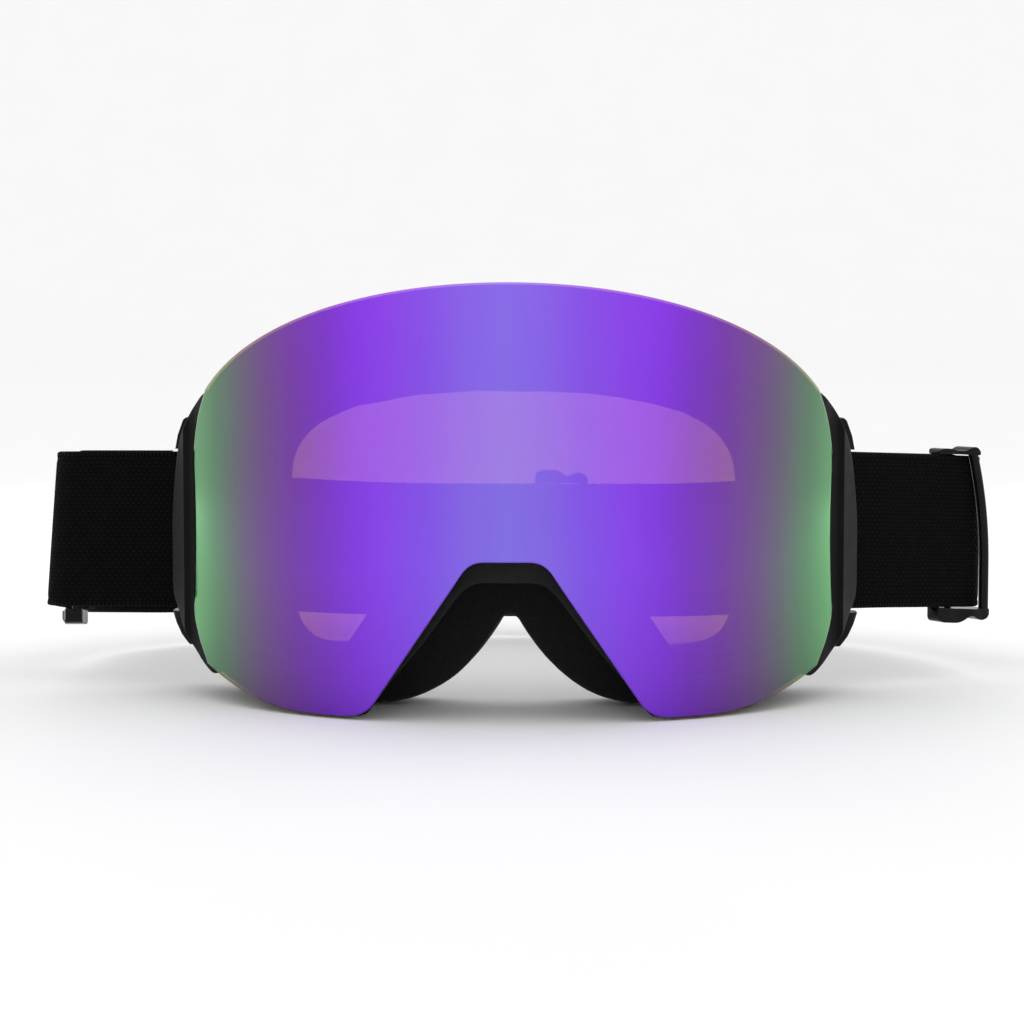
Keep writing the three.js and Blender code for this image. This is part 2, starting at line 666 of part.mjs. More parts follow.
// ---------------------------------------------------------------- materials and assembly
const MATERIALS = {
  mirrorLens: { color: 0x6a48d8, roughness: 0.08, metalness: 0.5, transparent: true, opacity: 0.85 },
  innerLens: { color: 0x8d6fd0, roughness: 0.1, metalness: 0, transparent: true, opacity: 0.35 },
  frame: { color: 0x1a1b1c, roughness: 0.7, metalness: 0 },
  gloss: { color: 0x0c0c0d, roughness: 0.25, metalness: 0 },
  carrier: { color: 0x121213, roughness: 0.6, metalness: 0 },
  foam: { color: 0x141415, roughness: 1, metalness: 0 },
  fleece: { color: 0x0b0b0c, roughness: 1, metalness: 0 },
  webbing: { color: 0x101012, roughness: 0.9, metalness: 0 },
  silicone: { color: 0x232326, roughness: 0.5, metalness: 0 },
  steel: { color: 0xb4b6ba, roughness: 0.3, metalness: 1 },
};

const group = new THREE.Group();

function add(name, solid, material) {
  const { vertProperties, triVerts } = solid.getMesh();
  const geometry = new THREE.BufferGeometry();
  geometry.setAttribute('position', new THREE.BufferAttribute(new Float32Array(vertProperties), 3));
  geometry.setIndex(new THREE.BufferAttribute(new Uint32Array(triVerts), 1));
  const mesh = new THREE.Mesh(geometry, new THREE.MeshStandardMaterial(MATERIALS[material]));
  mesh.name = name;
  group.add(mesh);
}

add('outer_lens', lensPlate(LENS_LOOP, LENS_RADIUS, 93.6), 'mirrorLens');
add('inner_lens', lensPlate(inset(LENS_LOOP, 9.4), 91.2, 90.2), 'innerLens');
add('lens_gasket', lensGasket(), 'foam');
add('lens_carrier', lensCarrier(), 'carrier');
magnetSpots.forEach(([x, z], i) => {
  add(`lens_magnet_${i + 1}`, radialDisc(x, z, 2, 89.5, 91.5), 'steel');
  add(`frame_magnet_${i + 1}`, radialDisc(x, z, 2, 87.4, 88.7), 'steel');
});

add('main_frame', mainFrame(), 'frame');
add('top_vent_foam', ventFoam([-54, 54], [80, 110]), 'foam');
add('right_vent_foam', ventFoam([58, 72], [-5, 16]), 'foam');
add('left_vent_foam', ventFoam([-72, -58], [-5, 16]), 'foam');

for (const [side, place] of [['right', (solid) => solid], ['left', mirrored]]) {
  add(`${side}_side_wing`, place(sideWing()), 'frame');
  add(`${side}_strap_clip`, place(strapClip()), 'gloss');
  add(`${side}_strap_pin`, place(strapPin()), 'steel');
  add(`${side}_lower_screw`, place(clipScrew(SCREW.heights[0])), 'steel');
  add(`${side}_upper_screw`, place(clipScrew(SCREW.heights[1])), 'steel');
}

add('face_foam_base', foamRing(
  [[0.03, 0.015], [0.97, 0.015], [1, 0.27], [0, 0.27]], BASE_INNER), 'foam');
add('face_foam_pad', foamRing(
  [[0, 0.285], [1, 0.285], [1.03, 0.52], [0.98, 0.76], [0.03, 0.76], [-0.03, 0.52]]), 'foam');
add('face_fleece', foamRing(
  [[0.03, 0.775], [0.98, 0.775], [0.97, 0.9], [0.82, 1], [0.2, 1], [0.04, 0.9]]), 'fleece');

add('strap_band', strapBand(), 'webbing');
add('left_tail', leftTail(), 'webbing');
add('right_tail', rightTail(), 'webbing');
add('left_tail_loop', onLeg(tailLoop(), LEFT_LEG), 'webbing');
add('right_tail_loop', onLeg(tailLoop(), RIGHT_LEG), 'webbing');
add('left_slider', onLeg(slider(), LEFT_LEG), 'gloss');
add('right_slider', onLeg(slider(), RIGHT_LEG), 'gloss');
add('rear_slider', onLeg(slider().mirror([0, 0, 1]), REAR_SPOT), 'gloss');
for (const [side, list] of [['left', LEFT_STATIONS], ['right', RIGHT_STATIONS]]) {
  add(`${side}_upper_grip`, gripStrip(list, 9.5), 'silicone');
  add(`${side}_lower_grip`, gripStrip(list, -9.5), 'silicone');
}

export default group;
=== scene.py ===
import math

import bmesh
import bpy
import numpy as np
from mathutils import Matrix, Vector, geometry, noise


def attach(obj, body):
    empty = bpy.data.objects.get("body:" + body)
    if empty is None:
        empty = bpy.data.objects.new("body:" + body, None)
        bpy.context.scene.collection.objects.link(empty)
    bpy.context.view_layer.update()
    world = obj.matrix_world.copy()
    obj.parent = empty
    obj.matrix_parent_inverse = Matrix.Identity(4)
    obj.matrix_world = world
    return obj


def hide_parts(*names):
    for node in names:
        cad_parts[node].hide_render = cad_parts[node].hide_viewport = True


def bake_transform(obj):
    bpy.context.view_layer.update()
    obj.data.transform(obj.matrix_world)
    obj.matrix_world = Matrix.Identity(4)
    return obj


# Looks of the ski goggles. Shapes are worked out in millimetres, in the CAD's own axes, with
# "depth" measured back from the foremost point of the lens, and scaled to metres at the end.
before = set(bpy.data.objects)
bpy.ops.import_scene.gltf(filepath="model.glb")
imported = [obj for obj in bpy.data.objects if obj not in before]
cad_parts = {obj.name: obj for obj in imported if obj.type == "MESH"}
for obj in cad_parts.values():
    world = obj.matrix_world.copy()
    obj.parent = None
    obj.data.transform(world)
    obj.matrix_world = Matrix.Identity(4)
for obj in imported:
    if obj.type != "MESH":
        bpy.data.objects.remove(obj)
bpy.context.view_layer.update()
scene = bpy.context.scene
MM = 0.001


# ---------------- camera and light
def placed(name, data):
    """A new object in the scene."""
    obj = bpy.data.objects.new(name, data)
    scene.collection.objects.link(obj)
    return obj


def add_camera():
    data = bpy.data.cameras.new("view")
    data.lens = 89.65
    data.sensor_width = 36
    camera = placed("view", data)
    camera.location = (0.018, -0.688, 0.0932)
    yaw, pitch = math.radians(1.6), math.radians(4.08)
    aim = Vector((-math.sin(yaw), math.cos(yaw), -math.tan(pitch)))
    camera.rotation_euler = aim.to_track_quat("-Z", "Y").to_euler()
    scene.camera = camera


def add_light(name, place, target, size, power, mirrored_in_gloss=True):
    data = bpy.data.lights.new(name, "AREA")
    data.shape = "RECTANGLE"
    data.size, data.size_y = size
    data.energy = power
    light = placed(name, data)
    light.location = place
    light.visible_glossy = mirrored_in_gloss
    aim = Vector(target) - Vector(place)
    light.rotation_euler = aim.to_track_quat("-Z", "Y").to_euler()


def add_studio():
    scene.view_settings.view_transform = "Standard"
    world = bpy.data.worlds.new("studio")
    scene.world = world
    world.use_nodes = True
    background = world.node_tree.nodes["Background"]
    background.inputs["Color"].default_value = (1, 1, 1, 1)
    background.inputs["Strength"].default_value = 1.0
    add_light("overhead", (-0.1, -0.1, 1.0), (0, 0, 0), (0.9, 0.7), 0.5)
    for name, way in (("left_strip", -1), ("right_strip", 1)):
        add_light(name, (0.62 * way, 0.5, 0.2), (0.08 * way, 0, 0.04), (0.25, 0.4), 1.4, False)


add_camera()
add_studio()

# ---------------- sizes shared with the CAD
HALF_LENGTH = 90
LENS_RADIUS = 95
PIN = {"x": 85.5, "depth": 66.1, "radius": 1.6, "bottom": 17, "top": 64.4}
WEB_HEIGHT, WEB_THICKNESS = 40.6, 1.4
WRAP_RADIUS = 2.6
INNER_LAYER = -5.2
CENTRE_BAR_AT = -2.9  # outwards from the band
GAP = 0.3
REAR_DEPTH = 176.5
RIGHT_LEG_ANGLE = math.radians(33)
RIGHT_SLIDER_AT = 36.4
REAR_SLIDER_X = 10
LEFT_SLIDER_DEPTH = 91
LEFT_LEG_END = 112
LOOP_TONGUE = 8
SCREW_X, SCREW_HEIGHTS = 81.6, (15.8, 66.4)
LEFT_LEVELS = [(0, 41.4), (66, 41.4), (112, 34.365), (150, 30), (168, 28.8), (REAR_DEPTH, 26.3)]
RIGHT_LEVELS = [(0, 41.4), (64, 41.4), (90, 39.2), (148, 32.4), (168, 29.5), (REAR_DEPTH, 26.3)]
MAGNETS = [(45, 92.3), (75.4, 44), (50, 6.2)]
MAGNET_RADIUS = 90

# Right half of each outline, from top centre round to the nose: (divisions, points...).
LENS_PIECES = [
    (9, (34, 104.4), (64, 95), (76.7, 78.5)),
    (4, (79.6, 71.7), (81, 66), (80.8, 58)),
    (3, (80.3, 46), (80.3, 38), (81.1, 24)),
    (3, (81.1, 18), (79, 14.5), (76.7, 9.3)),
    (5, (68, 4.2), (60, 0.5), (46, 0.5)),
    (1, (41, 0.5)),
    (3, (36, 0.5), (33.6, 1.5), (31.5, 4.6)),
    (3, (11.2, 34.7)),
    (3, (9.5, 37.4), (8, 38.4), (5, 38.4)),
    (1, (0, 38.4)),
]
FRAME_PIECES = [
    (9, (33.5, 102.6), (62.6, 93.4), (75, 77.4)),
    (4, (78, 70), (79.3, 65), (79.2, 57)),
    (3, (79.3, 24)),
    (3, (79.3, 18.5), (77.4, 14.8), (75.2, 10.2)),
    (4, (69, 5.6), (63, 0), (57, 0)),
    (2, (37, 0)),
    (2, (35, 0), (34, 0.4), (33, 2)),
    (3, (29, 8.5), (24, 13.5), (20.5, 18)),
    (1, (12.6, 28.7)),
    (3, (10, 32), (8.5, 33), (5, 33)),
    (1, (0, 33)),
]
FOAM_OUTER_PIECES = [
    (7, (31, 99.6), (60, 91), (72.6, 76)),
    (3, (76.4, 69.5), (77.6, 64), (77.6, 56)),
    (3, (77.6, 26)),
    (4, (77.6, 12), (70, 0.6), (56, 0.6)),
    (3, (30, 0.6)),
    (4, (17, 2), (8, 12), (3, 20.5)),
    (2, (2, 22.5), (1, 23), (0, 23)),
]
FOAM_INNER_PIECES = [
    (7, (20, 78.6), (44, 76.5), (53, 66.8)),
    (3, (56.5, 63), (57.3, 58), (57.3, 50)),
    (3, (57.3, 32)),
    (4, (57.3, 20), (54, 13.5), (45, 13.5)),
    (3, (40, 13.5)),
    (4, (30, 13.5), (24, 22), (19, 30)),
    (2, (14, 38), (8, 42), (0, 42)),
]

# Inner edge of the firm foam layer and of the frame's opening, wider at its top corners.
BASE_INNER_PIECES = [
    (7, (24, 78.6), (46, 79.6), (56, 75.6)),
    (3, (58.6, 70), (57.8, 60), (57.3, 50)),
    *FOAM_INNER_PIECES[2:],
]


# ---------------- outlines and surfaces
def bezier(points, t):
    a, b, c, d = (np.array(p, float) for p in points)
    s = 1 - t
    return s**3 * a + 3 * s * s * t * b + 3 * s * t * t * c + t**3 * d


def outline(start, pieces, finer=5):
    here = np.array(start, float)
    half = [here]
    for divisions, *points in pieces:
        count = divisions * finer
        end = np.array(points[-1], float)
        for i in range(1, count + 1):
            t = i / count
            half.append(here + (end - here) * t if len(points) == 1
                        else bezier([here, *points], t))
        here = end
    return np.array(half + [p * (-1, 1) for p in half[-2:0:-1]])


def edge_normals(loop):
    """Mitred normals on the left of the direction of travel."""
    ahead = np.roll(loop, -1, 0) - loop
    ahead /= np.maximum(np.linalg.norm(ahead, axis=1), 1e-9)[:, None]
    left = np.stack([-ahead[:, 1], ahead[:, 0]], 1)
    mean = left + np.roll(left, 1, 0)
    mean /= np.maximum(np.linalg.norm(mean, axis=1), 1e-9)[:, None]
    return mean / np.maximum((mean * left).sum(1), 0.6)[:, None]


def distance_to(points, loop):
    a, b = loop, np.roll(loop, -1, 0)
    along = b - a
    t = ((points[:, None] - a) * along).sum(2) / np.maximum((along * along).sum(1), 1e-12)
    near = a + along * np.clip(t, 0, 1)[..., None]
    return np.linalg.norm(points[:, None] - near, axis=2).min(1)


def inset(loop, distance):
    """The outline moved inwards. These outlines run clockwise, so inwards is on the right."""
    moved = loop - edge_normals(loop) * distance
    return moved[distance_to(moved, loop) > abs(distance) - 0.03]


def cylinder(radius, apex):
    return lambda x: apex + radius - math.sqrt(max(radius * radius - x * x, 1))


def lens_shell(radius):
    return cylinder(radius, LENS_RADIUS - radius)


def shifted(surface, distance):
    return lambda x: surface(x) + distance


frame_rear = cylinder(108, 26)
face_surface = cylinder(115, 46)
frame_front = lens_shell(88.8)
flange_back = lens_shell(86.3)
rear_flange = shifted(frame_rear, -2.2)

LENS_LOOP = outline((0, 104.4), LENS_PIECES)
FRAME_LOOP = outline((0, 102.6), FRAME_PIECES)
FOAM_OUTER = outline((0, 99.6), FOAM_OUTER_PIECES, 4)
FOAM_INNER = outline((0, 78.6), FOAM_INNER_PIECES, 4)
BASE_INNER = outline((0, 78.6), BASE_INNER_PIECES, 4)


# ---------------- meshes, in millimetres
def to_mesh(name, verts, faces):
    mesh = bpy.data.meshes.new(name)
    mesh.from_pydata([tuple(v) for v in verts], [], faces)
    mesh.update()
    return mesh


def skin(rings, closed):
    """Quads between rings of points, closed into a loop or capped at both ends."""
    count, total = len(rings[0]), len(rings)
    faces = []
    for i in range(total if closed else total - 1):
        for j in range(count):
            k = (j + 1) % count
            nxt = (i + 1) % total
            faces.append((i * count + j, i * count + k, nxt * count + k, nxt * count + j))
    if not closed:
        faces += [tuple(range(count)), tuple(range((total - 1) * count, total * count))]
    return [p for ring in rings for p in ring], faces


def surface_normal(surface, x, side):
    slope = (surface(x + 0.01) - surface(x - 0.01)) / 0.02
    return Vector((-slope, 1, 0)).normalized() * side


def quarter(rounding, steps):
    """(inset, rise, angle) along a quarter round, from the flat face to the side."""
    if rounding == 0:
        return [(0, 0, math.pi / 4)]
    turns = [math.pi / 2 * i / steps for i in range(steps + 1)]
    return [(rounding * (1 - math.sin(a)), rounding * (1 - math.cos(a)), a) for a in turns]


def plate(name, loops, front, back, rounding=0.0, steps=3, pitch=2.5, breaks=(), exact=True,
          coated=False):
    """A closed sheet between two upright curved surfaces, cut to an outline and its holes.

    Its front takes the first material and the rest the second. On a coated sheet the front's
    rounded edge takes the first as well, and the side wall the third.
    """
    low, high = loops[0][:, 0].min(), loops[0][:, 0].max()
    first, last = int(low / pitch) - 1, int(high / pitch) + 2
    columns = sorted({round(k * pitch, 4) for k in range(first, last)} | set(breaks))
    rims = []
    for k, loop in enumerate(loops):
        x, z = loop[:, 0], loop[:, 1]
        area = (x * np.roll(z, -1) - np.roll(x, -1) * z).sum()
        if (area > 0) != (k == 0):
            loop = loop[::-1]
        inward = edge_normals(loop)
        rim = []
        for i in range(len(loop)):
            j = (i + 1) % len(loop)
            a = loop[i][0] + inward[i][0] * rounding
            b = loop[j][0] + inward[j][0] * rounding
            cuts = sorted((c - a) / (b - a) for c in columns
                          if min(a, b) + 1e-3 < c < max(a, b) - 1e-3)
            for t in [0, *cuts]:
                rim.append((loop[i] * (1 - t) + loop[j] * t, inward[i] * (1 - t) + inward[j] * t))
        rims.append(rim)

    flat = bmesh.new()
    edges = [[Vector((*(p + n * rounding), 0)) for p, n in rim] for rim in rims]
    corners = [flat.verts.new(p) for edge in edges for p in edge]
    for triangle in geometry.tessellate_polygon(edges):
        if len(set(triangle)) == 3:
            flat.faces.new([corners[i] for i in triangle])
    for c in columns:
        bmesh.ops.bisect_plane(flat, geom=flat.verts[:] + flat.edges[:] + flat.faces[:],
                               dist=1e-4, plane_co=(c, 0, 0), plane_no=(1, 0, 0))
    flat.verts.index_update()

    bm = bmesh.new()
    shade = bm.verts.layers.float_vector.new("shade")

    def put(x, z, depth, normal):
        vert = bm.verts.new((x, depth - HALF_LENGTH, z))
        vert[shade] = normal
        return vert

    for surface, side in ((front, -1), (back, 1)):
        made = [put(v.co.x, v.co.y, surface(v.co.x), surface_normal(surface, v.co.x, side))
                for v in flat.verts]
        for face in flat.faces:
            new = bm.faces.new([made[v.index] for v in face.verts])
            new.material_index = 0 if side < 0 else 1
    flat.free()
    for rim in rims:
        rings = []
        profile = quarter(rounding, steps)
        for surface, side, order in ((front, -1, profile), (back, 1, profile[::-1])):
            for inwards, rise, angle in order:
                ring = []
                for p, n in rim:
                    x, z = p + n * inwards
                    outward = Vector((-n[0], 0, -n[1])).normalized()
                    normal = (surface_normal(surface, x, side) * math.cos(angle)
                              + outward * math.sin(angle)).normalized()
                    ring.append(put(x, z, surface(x) - side * rise, normal))
                rings.append(ring)
        wall = len(profile) - 1
        for level, (one, two) in enumerate(zip(rings, rings[1:])):
            slot = 1
            if coated and level <= wall:
                slot = 2 if level == wall else 0
            for i in range(len(one)):
                j = (i + 1) % len(one)
                bm.faces.new([one[i], one[j], two[j], two[i]]).material_index = slot
    bmesh.ops.remove_doubles(bm, verts=bm.verts[:], dist=1e-3)
    bmesh.ops.recalc_face_normals(bm, faces=bm.faces[:])
    mesh = bpy.data.meshes.new(name)
    bm.to_mesh(mesh)
    bm.free()
    if exact:
        normals = np.zeros(len(mesh.vertices) * 3)
        mesh.attributes["shade"].data.foreach_get("vector", normals)
        mesh.shade_smooth()
        mesh.normals_split_custom_set_from_vertices([tuple(n) for n in normals.reshape(-1, 3)])
    mesh.attributes.remove(mesh.attributes["shade"])
    return mesh


def prism(name, points, low, high, place, rounding=0.0, steps=3):
    """A polygon swept straight, with its two end edges rounded."""
    loop = np.array(points, float)
    x, z = loop[:, 0], loop[:, 1]
    if (x * np.roll(z, -1) - np.roll(x, -1) * z).sum() < 0:
        loop = loop[::-1]
    inward = edge_normals(loop)
    profile = quarter(rounding, steps)
    levels = [(i, low + r) for i, r, _ in profile] + [(i, high - r) for i, r, _ in profile[::-1]]
    rings = [[place(*(p + n * i), w) for p, n in zip(loop, inward)] for i, w in levels]
    return tidy(to_mesh(name, *skin(rings, False)))


def tidy(mesh, weld=True):
    """Cleans up a new mesh: joined doubles, no long faces, and all faces pointing out."""
    bm = bmesh.new()
    bm.from_mesh(mesh)
    if weld:
        bmesh.ops.remove_doubles(bm, verts=bm.verts[:], dist=1e-4)
    bmesh.ops.triangulate(bm, faces=[f for f in bm.faces if len(f.verts) > 4])
    bmesh.ops.recalc_face_normals(bm, faces=bm.faces[:])
    bm.to_mesh(mesh)
    bm.free()
    return mesh


def turned(name, start, end, profile, sides=40):
    """A round solid about the line from start to end: (distance along it, radius) pairs."""
    a, b = (Vector((x, depth - HALF_LENGTH, z)) for x, depth, z in (start, end))
    axis = (b - a).normalized()
    across = axis.orthogonal().normalized()
    up = axis.cross(across)
    turns = [2 * math.pi * i / sides for i in range(sides)]
    rays = [across * math.cos(t) + up * math.sin(t) for t in turns]
    rings = [[a + axis * along + ray * radius for ray in rays] for along, radius in profile]
    return tidy(to_mesh(name, *skin(rings, False)))


def combined(mesh, others, operation="DIFFERENCE"):
    """mesh after a boolean with each of the others in turn."""
    for other in others:
        base, tool = placed("base", mesh), placed("tool", other)
        modifier = base.modifiers.new("cut", "BOOLEAN")
        modifier.operation = operation
        modifier.solver = "EXACT"
        modifier.object = tool
        bpy.context.view_layer.update()
        evaluated = base.evaluated_get(bpy.context.evaluated_depsgraph_get())
        mesh = bpy.data.meshes.new_from_object(evaluated)
        for o in (base, tool):
            bpy.data.objects.remove(o)
    return mesh


def joined(meshes):
    """Several meshes that don't touch, as one."""
    bm = bmesh.new()
    for mesh in meshes:
        bm.from_mesh(mesh)
    out = bpy.data.meshes.new("joined")
    bm.to_mesh(out)
    bm.free()
    return out


def softened(obj, width, segments=2, angle=40):
    modifier = obj.modifiers.new("edges", "BEVEL")
    modifier.width = width * MM
    modifier.segments = segments
    modifier.limit_method = "ANGLE"
    modifier.angle_limit = math.radians(angle)
    modifier.use_clamp_overlap = True
    return obj


def piece(name, mesh, materials, body, nodes, smooth=None):
    """Turns a mesh in millimetres into a piece of the model that stands for CAD nodes."""
    mesh.transform(((MM, 0, 0, 0), (0, MM, 0, 0), (0, 0, MM, 0), (0, 0, 0, 1)))
    mesh.name = name
    obj = placed(name, mesh)
    for material in materials:
        mesh.materials.append(material)
    if smooth is not None:
        mesh.shade_smooth()
        mesh.set_sharp_from_angle(angle=math.radians(smooth))
    if body:
        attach(obj, body)
    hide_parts(*nodes)
    return obj


# ---------------- materials
class Surface:
    """A node material built up in steps round one Principled shader."""

    def __init__(self, name, **values):
        self.material = bpy.data.materials.new(name)
        self.material.use_nodes = True
        self.nodes = self.material.node_tree.nodes
        self.links = self.material.node_tree.links
        self.shader = self.nodes["Principled BSDF"]
        self.coordinates = self.nodes.new("ShaderNodeTexCoord").outputs["Object"]
        self.height = None
        self.fill(self.shader, values)

    def feed(self, socket, value):
        if isinstance(value, bpy.types.NodeSocket):
            self.links.new(value, socket)
        else:
            socket.default_value = value

    def fill(self, node, values):
        """Feeds a node's inputs by name, with underscores for spaces."""
        for key, value in values.items():
            self.feed(node.inputs[key.replace("_", " ")], value)
        return node

    def node(self, kind, **values):
        return self.fill(self.nodes.new("ShaderNode" + kind), values)

    def math(self, operation, a, b=0.0):
        node = self.nodes.new("ShaderNodeMath")
        node.operation = operation
        self.feed(node.inputs[0], a)
        self.feed(node.inputs[1], b)
        return node.outputs[0]

    def noise(self, size, detail=4.0, roughness=0.55):
        """Noise with features of that size in millimetres."""
        return self.node("TexNoise", Scale=1 / (size * MM), Detail=detail, Roughness=roughness,
                         Vector=self.coordinates).outputs["Fac"]

    def cells(self, size):
        return self.node("TexVoronoi", Scale=1 / (size * MM),
                         Vector=self.coordinates).outputs["Distance"]

    def attribute(self, name):
        node = self.nodes.new("ShaderNodeAttribute")
        node.attribute_name = name
        return node.outputs["Fac"]

    def ramp(self, source, stops):
        node = self.node("ValToRGB", Fac=source)
        ramp = node.color_ramp
        while len(ramp.elements) < len(stops):
            ramp.elements.new(0.5)
        for element, (at, colour) in zip(ramp.elements, stops):
            element.position = at
            element.color = (*colour, 1)
        return node.outputs["Color"]

    def colour(self, source, dark, light):
        self.links.new(self.ramp(source, [(0.3, dark), (0.7, light)]),
                       self.shader.inputs["Base Color"])

    def roughness(self, source, low, high):
        node = self.node("MapRange", Value=source, From_Min=0.3, From_Max=0.7, To_Min=low,
                         To_Max=high)
        self.links.new(node.outputs["Result"], self.shader.inputs["Roughness"])

    def bump(self, height, distance, strength=1.0):
        node = self.node("Bump", Distance=distance * MM, Strength=strength, Height=height)
        if self.height is not None:
            self.links.new(self.height, node.inputs["Normal"])
        self.height = node.outputs["Normal"]
        self.links.new(self.height, self.shader.inputs["Normal"])

    def see_through(self, tint, share):
        """Lets a share of the light straight through, tinted."""
        clear = self.node("BsdfTransparent", Color=(*tint, 1))
        mix = self.node("MixShader", Fac=share)
        self.links.new(self.shader.outputs[0], mix.inputs[1])
        self.links.new(clear.outputs[0], mix.inputs[2])
        self.links.new(mix.outputs[0], self.nodes["Material Output"].inputs["Surface"])


def grey(value, blue=1.06):
    return (value, value, value * blue)


# Coating colours across the lens. The lighter blue in the middle is partly a painted highlight from
# the front light.
LENS_COLOURS_AND_HIGHLIGHT = [  # (distance from the middle in mm, colour)
    (0, (0.268, 0.200, 0.905)),
    (10, (0.270, 0.165, 0.915)),
    (19, (0.268, 0.115, 0.940)),
    (29, (0.285, 0.080, 0.960)),
    (37, (0.262, 0.062, 0.850)),
    (44, (0.228, 0.060, 0.640)),
    (52, (0.208, 0.072, 0.450)),
    (60, (0.195, 0.112, 0.310)),
    (67, (0.168, 0.180, 0.215)),
    (74, (0.135, 0.285, 0.170)),
    (81, (0.148, 0.440, 0.178)),
]
LENS_HALF_WIDTH = 84


def mirror_lens():
    """Mirror coating, blue in the middle to green at the sides, with painted highlight and shade.
    """
    s = Surface("mirror_lens", Metallic=1.0, Roughness=0.09)
    split = s.node("SeparateXYZ", Vector=s.coordinates)
    drift = s.math("MULTIPLY", s.math("SUBTRACT", s.noise(60, 2), 0.5), 0.006)
    side = s.math("ABSOLUTE", s.math("ADD", split.outputs["X"], drift))
    share = s.math("DIVIDE", side, LENS_HALF_WIDTH * MM)
    bands_and_highlight = s.ramp(share, [(x / LENS_HALF_WIDTH, c) for x, c in LENS_COLOURS_AND_HIGHLIGHT])
    # Painted light and shade: the coating is darkened towards the bottom and made lighter and more
    # saturated towards the top.
    shade = s.ramp(s.math("DIVIDE", split.outputs["Z"], 0.1044),
                   [(0.0, (0.87, 0.85, 0.83)), (0.35, (1.035, 1.035, 1.035)),
                    (1.0, (1.17, 0.94, 1.13))])
    mix = s.nodes.new("ShaderNodeMix")
    mix.data_type, mix.blend_type = "RGBA", "MULTIPLY"
    mix.inputs["Factor"].default_value = 1.0
    s.links.new(bands_and_highlight, mix.inputs[6])
    s.links.new(shade, mix.inputs[7])
    s.links.new(mix.outputs[2], s.shader.inputs["Base Color"])
    s.roughness(s.noise(25, 3), 0.08, 0.12)
    s.bump(s.noise(40, 1), 0.03, 0.3)
    s.see_through((1.0, 0.62, 0.1), 0.20)
    return s.material


def tinted_pane(name, grain, dark, light, rough, tint, share):
    """Clear plastic with a faint tint and slightly uneven gloss."""
    s = Surface(name)
    s.colour(s.noise(grain), dark, light)
    s.roughness(s.noise(6), *rough)
    s.see_through(tint, share)
    return s.material


def lens_rim():
    """Cut edge of the lens, dark where the coating stops."""
    s = Surface("lens_rim")
    s.colour(s.noise(12), (0.012, 0.005, 0.014), (0.018, 0.008, 0.022))
    s.roughness(s.noise(6), 0.3, 0.4)
    return s.material


def moulded(name, dark, light, rough, grain, depth, specular=0.35):
    """Moulded plastic: fine grain, faint flow marks and uneven gloss."""
    s = Surface(name, Specular_IOR_Level=specular)
    s.colour(s.noise(14, 5), grey(dark), grey(light))
    s.roughness(s.noise(5, 6), *rough)
    s.bump(s.cells(grain), depth, 0.6)
    s.bump(s.noise(9, 2), 0.05, 0.5)
    return s.material


def foam(name, dark, light, pore, depth, sheen=0.1):
    """Open-cell foam: round pores of two sizes over a soft uneven surface."""
    s = Surface(name, Specular_IOR_Level=0.1, Sheen_Weight=sheen, Sheen_Roughness=0.6)
    pores = s.cells(pore)
    # The pores are coloured darker than the surface between them: painted shade inside the pores.
    s.links.new(s.ramp(pores, [(0.1, grey(dark)), (0.6, grey(light))]),
                s.shader.inputs["Base Color"])
    s.roughness(s.noise(3), 0.9, 1.0)
    s.bump(s.cells(pore * 2.4), depth, 0.5)
    s.bump(pores, depth, 0.8)
    return s.material


def fleece():
    """Short plush pile, brushed in slowly changing directions."""
    s = Surface("fleece", Specular_IOR_Level=0.05, Sheen_Weight=0.25, Sheen_Roughness=0.45)
    s.colour(s.noise(0.9, 6), grey(0.004), grey(0.014))
    s.roughness(s.noise(4), 0.92, 1.0)
    s.bump(s.noise(3.5, 3), 0.5, 0.7)
    s.bump(s.noise(0.45, 5, 0.7), 0.35, 0.9)
    return s.material


def webbing():
    """Flat woven webbing: warp columns crossed by picks, with a bound edge."""
    s = Surface("webbing", Specular_IOR_Level=0.03, Sheen_Weight=0.012, Sheen_Roughness=0.4)
    along, across = s.attribute("along"), s.attribute("across")
    column = s.math("DIVIDE", across, 1.05)
    phase = s.math("MULTIPLY", s.math("FLOORED_MODULO", s.math("FLOOR", column), 2), math.pi)
    pick = s.math("SINE", s.math("ADD", s.math("MULTIPLY", along, 2 * math.pi / 1.5), phase))
    rib = s.math("ABSOLUTE", s.math("SINE", s.math("MULTIPLY", column, math.pi)))
    weave = s.math("MULTIPLY", rib, s.math("ADD", s.math("MULTIPLY", pick, 0.4), 0.6))
    edge = s.math("GREATER_THAN", s.math("ABSOLUTE", across), WEB_HEIGHT / 2 - 1.2)
    bead = s.math("SINE", s.math("MULTIPLY", along, 2 * math.pi / 1.0))
    bound = s.math("MULTIPLY", s.math("ADD", s.math("MULTIPLY", bead, 0.5), 0.5), 1.6)
    plain = s.math("MULTIPLY", weave, s.math("SUBTRACT", 1.0, edge))
    height = s.math("ADD", plain, s.math("MULTIPLY", bound, edge))
    fuzz = s.math("MULTIPLY", s.noise(0.3, 3), 0.5)
    # Colour follows the weave's height: painted shade between the threads and painted highlight on
    # the raised threads and the edge beads.
    s.links.new(s.ramp(s.math("ADD", s.math("MULTIPLY", height, 0.6), fuzz),
                       [(0.2, grey(0.0022)), (1.0, grey(0.0070))]), s.shader.inputs["Base Color"])
    s.roughness(s.noise(2), 0.75, 0.95)
    s.bump(height, 0.22, 1.0)
    s.bump(fuzz, 0.1, 0.5)
    return s.material


def thread():
    """Twisted sewing thread."""
    s = Surface("thread", Specular_IOR_Level=0.1)
    s.colour(s.noise(0.3, 4), grey(0.010), grey(0.024))
    s.roughness(s.noise(0.5), 0.6, 0.8)
    s.bump(s.noise(0.15, 3), 0.05, 0.8)
    return s.material


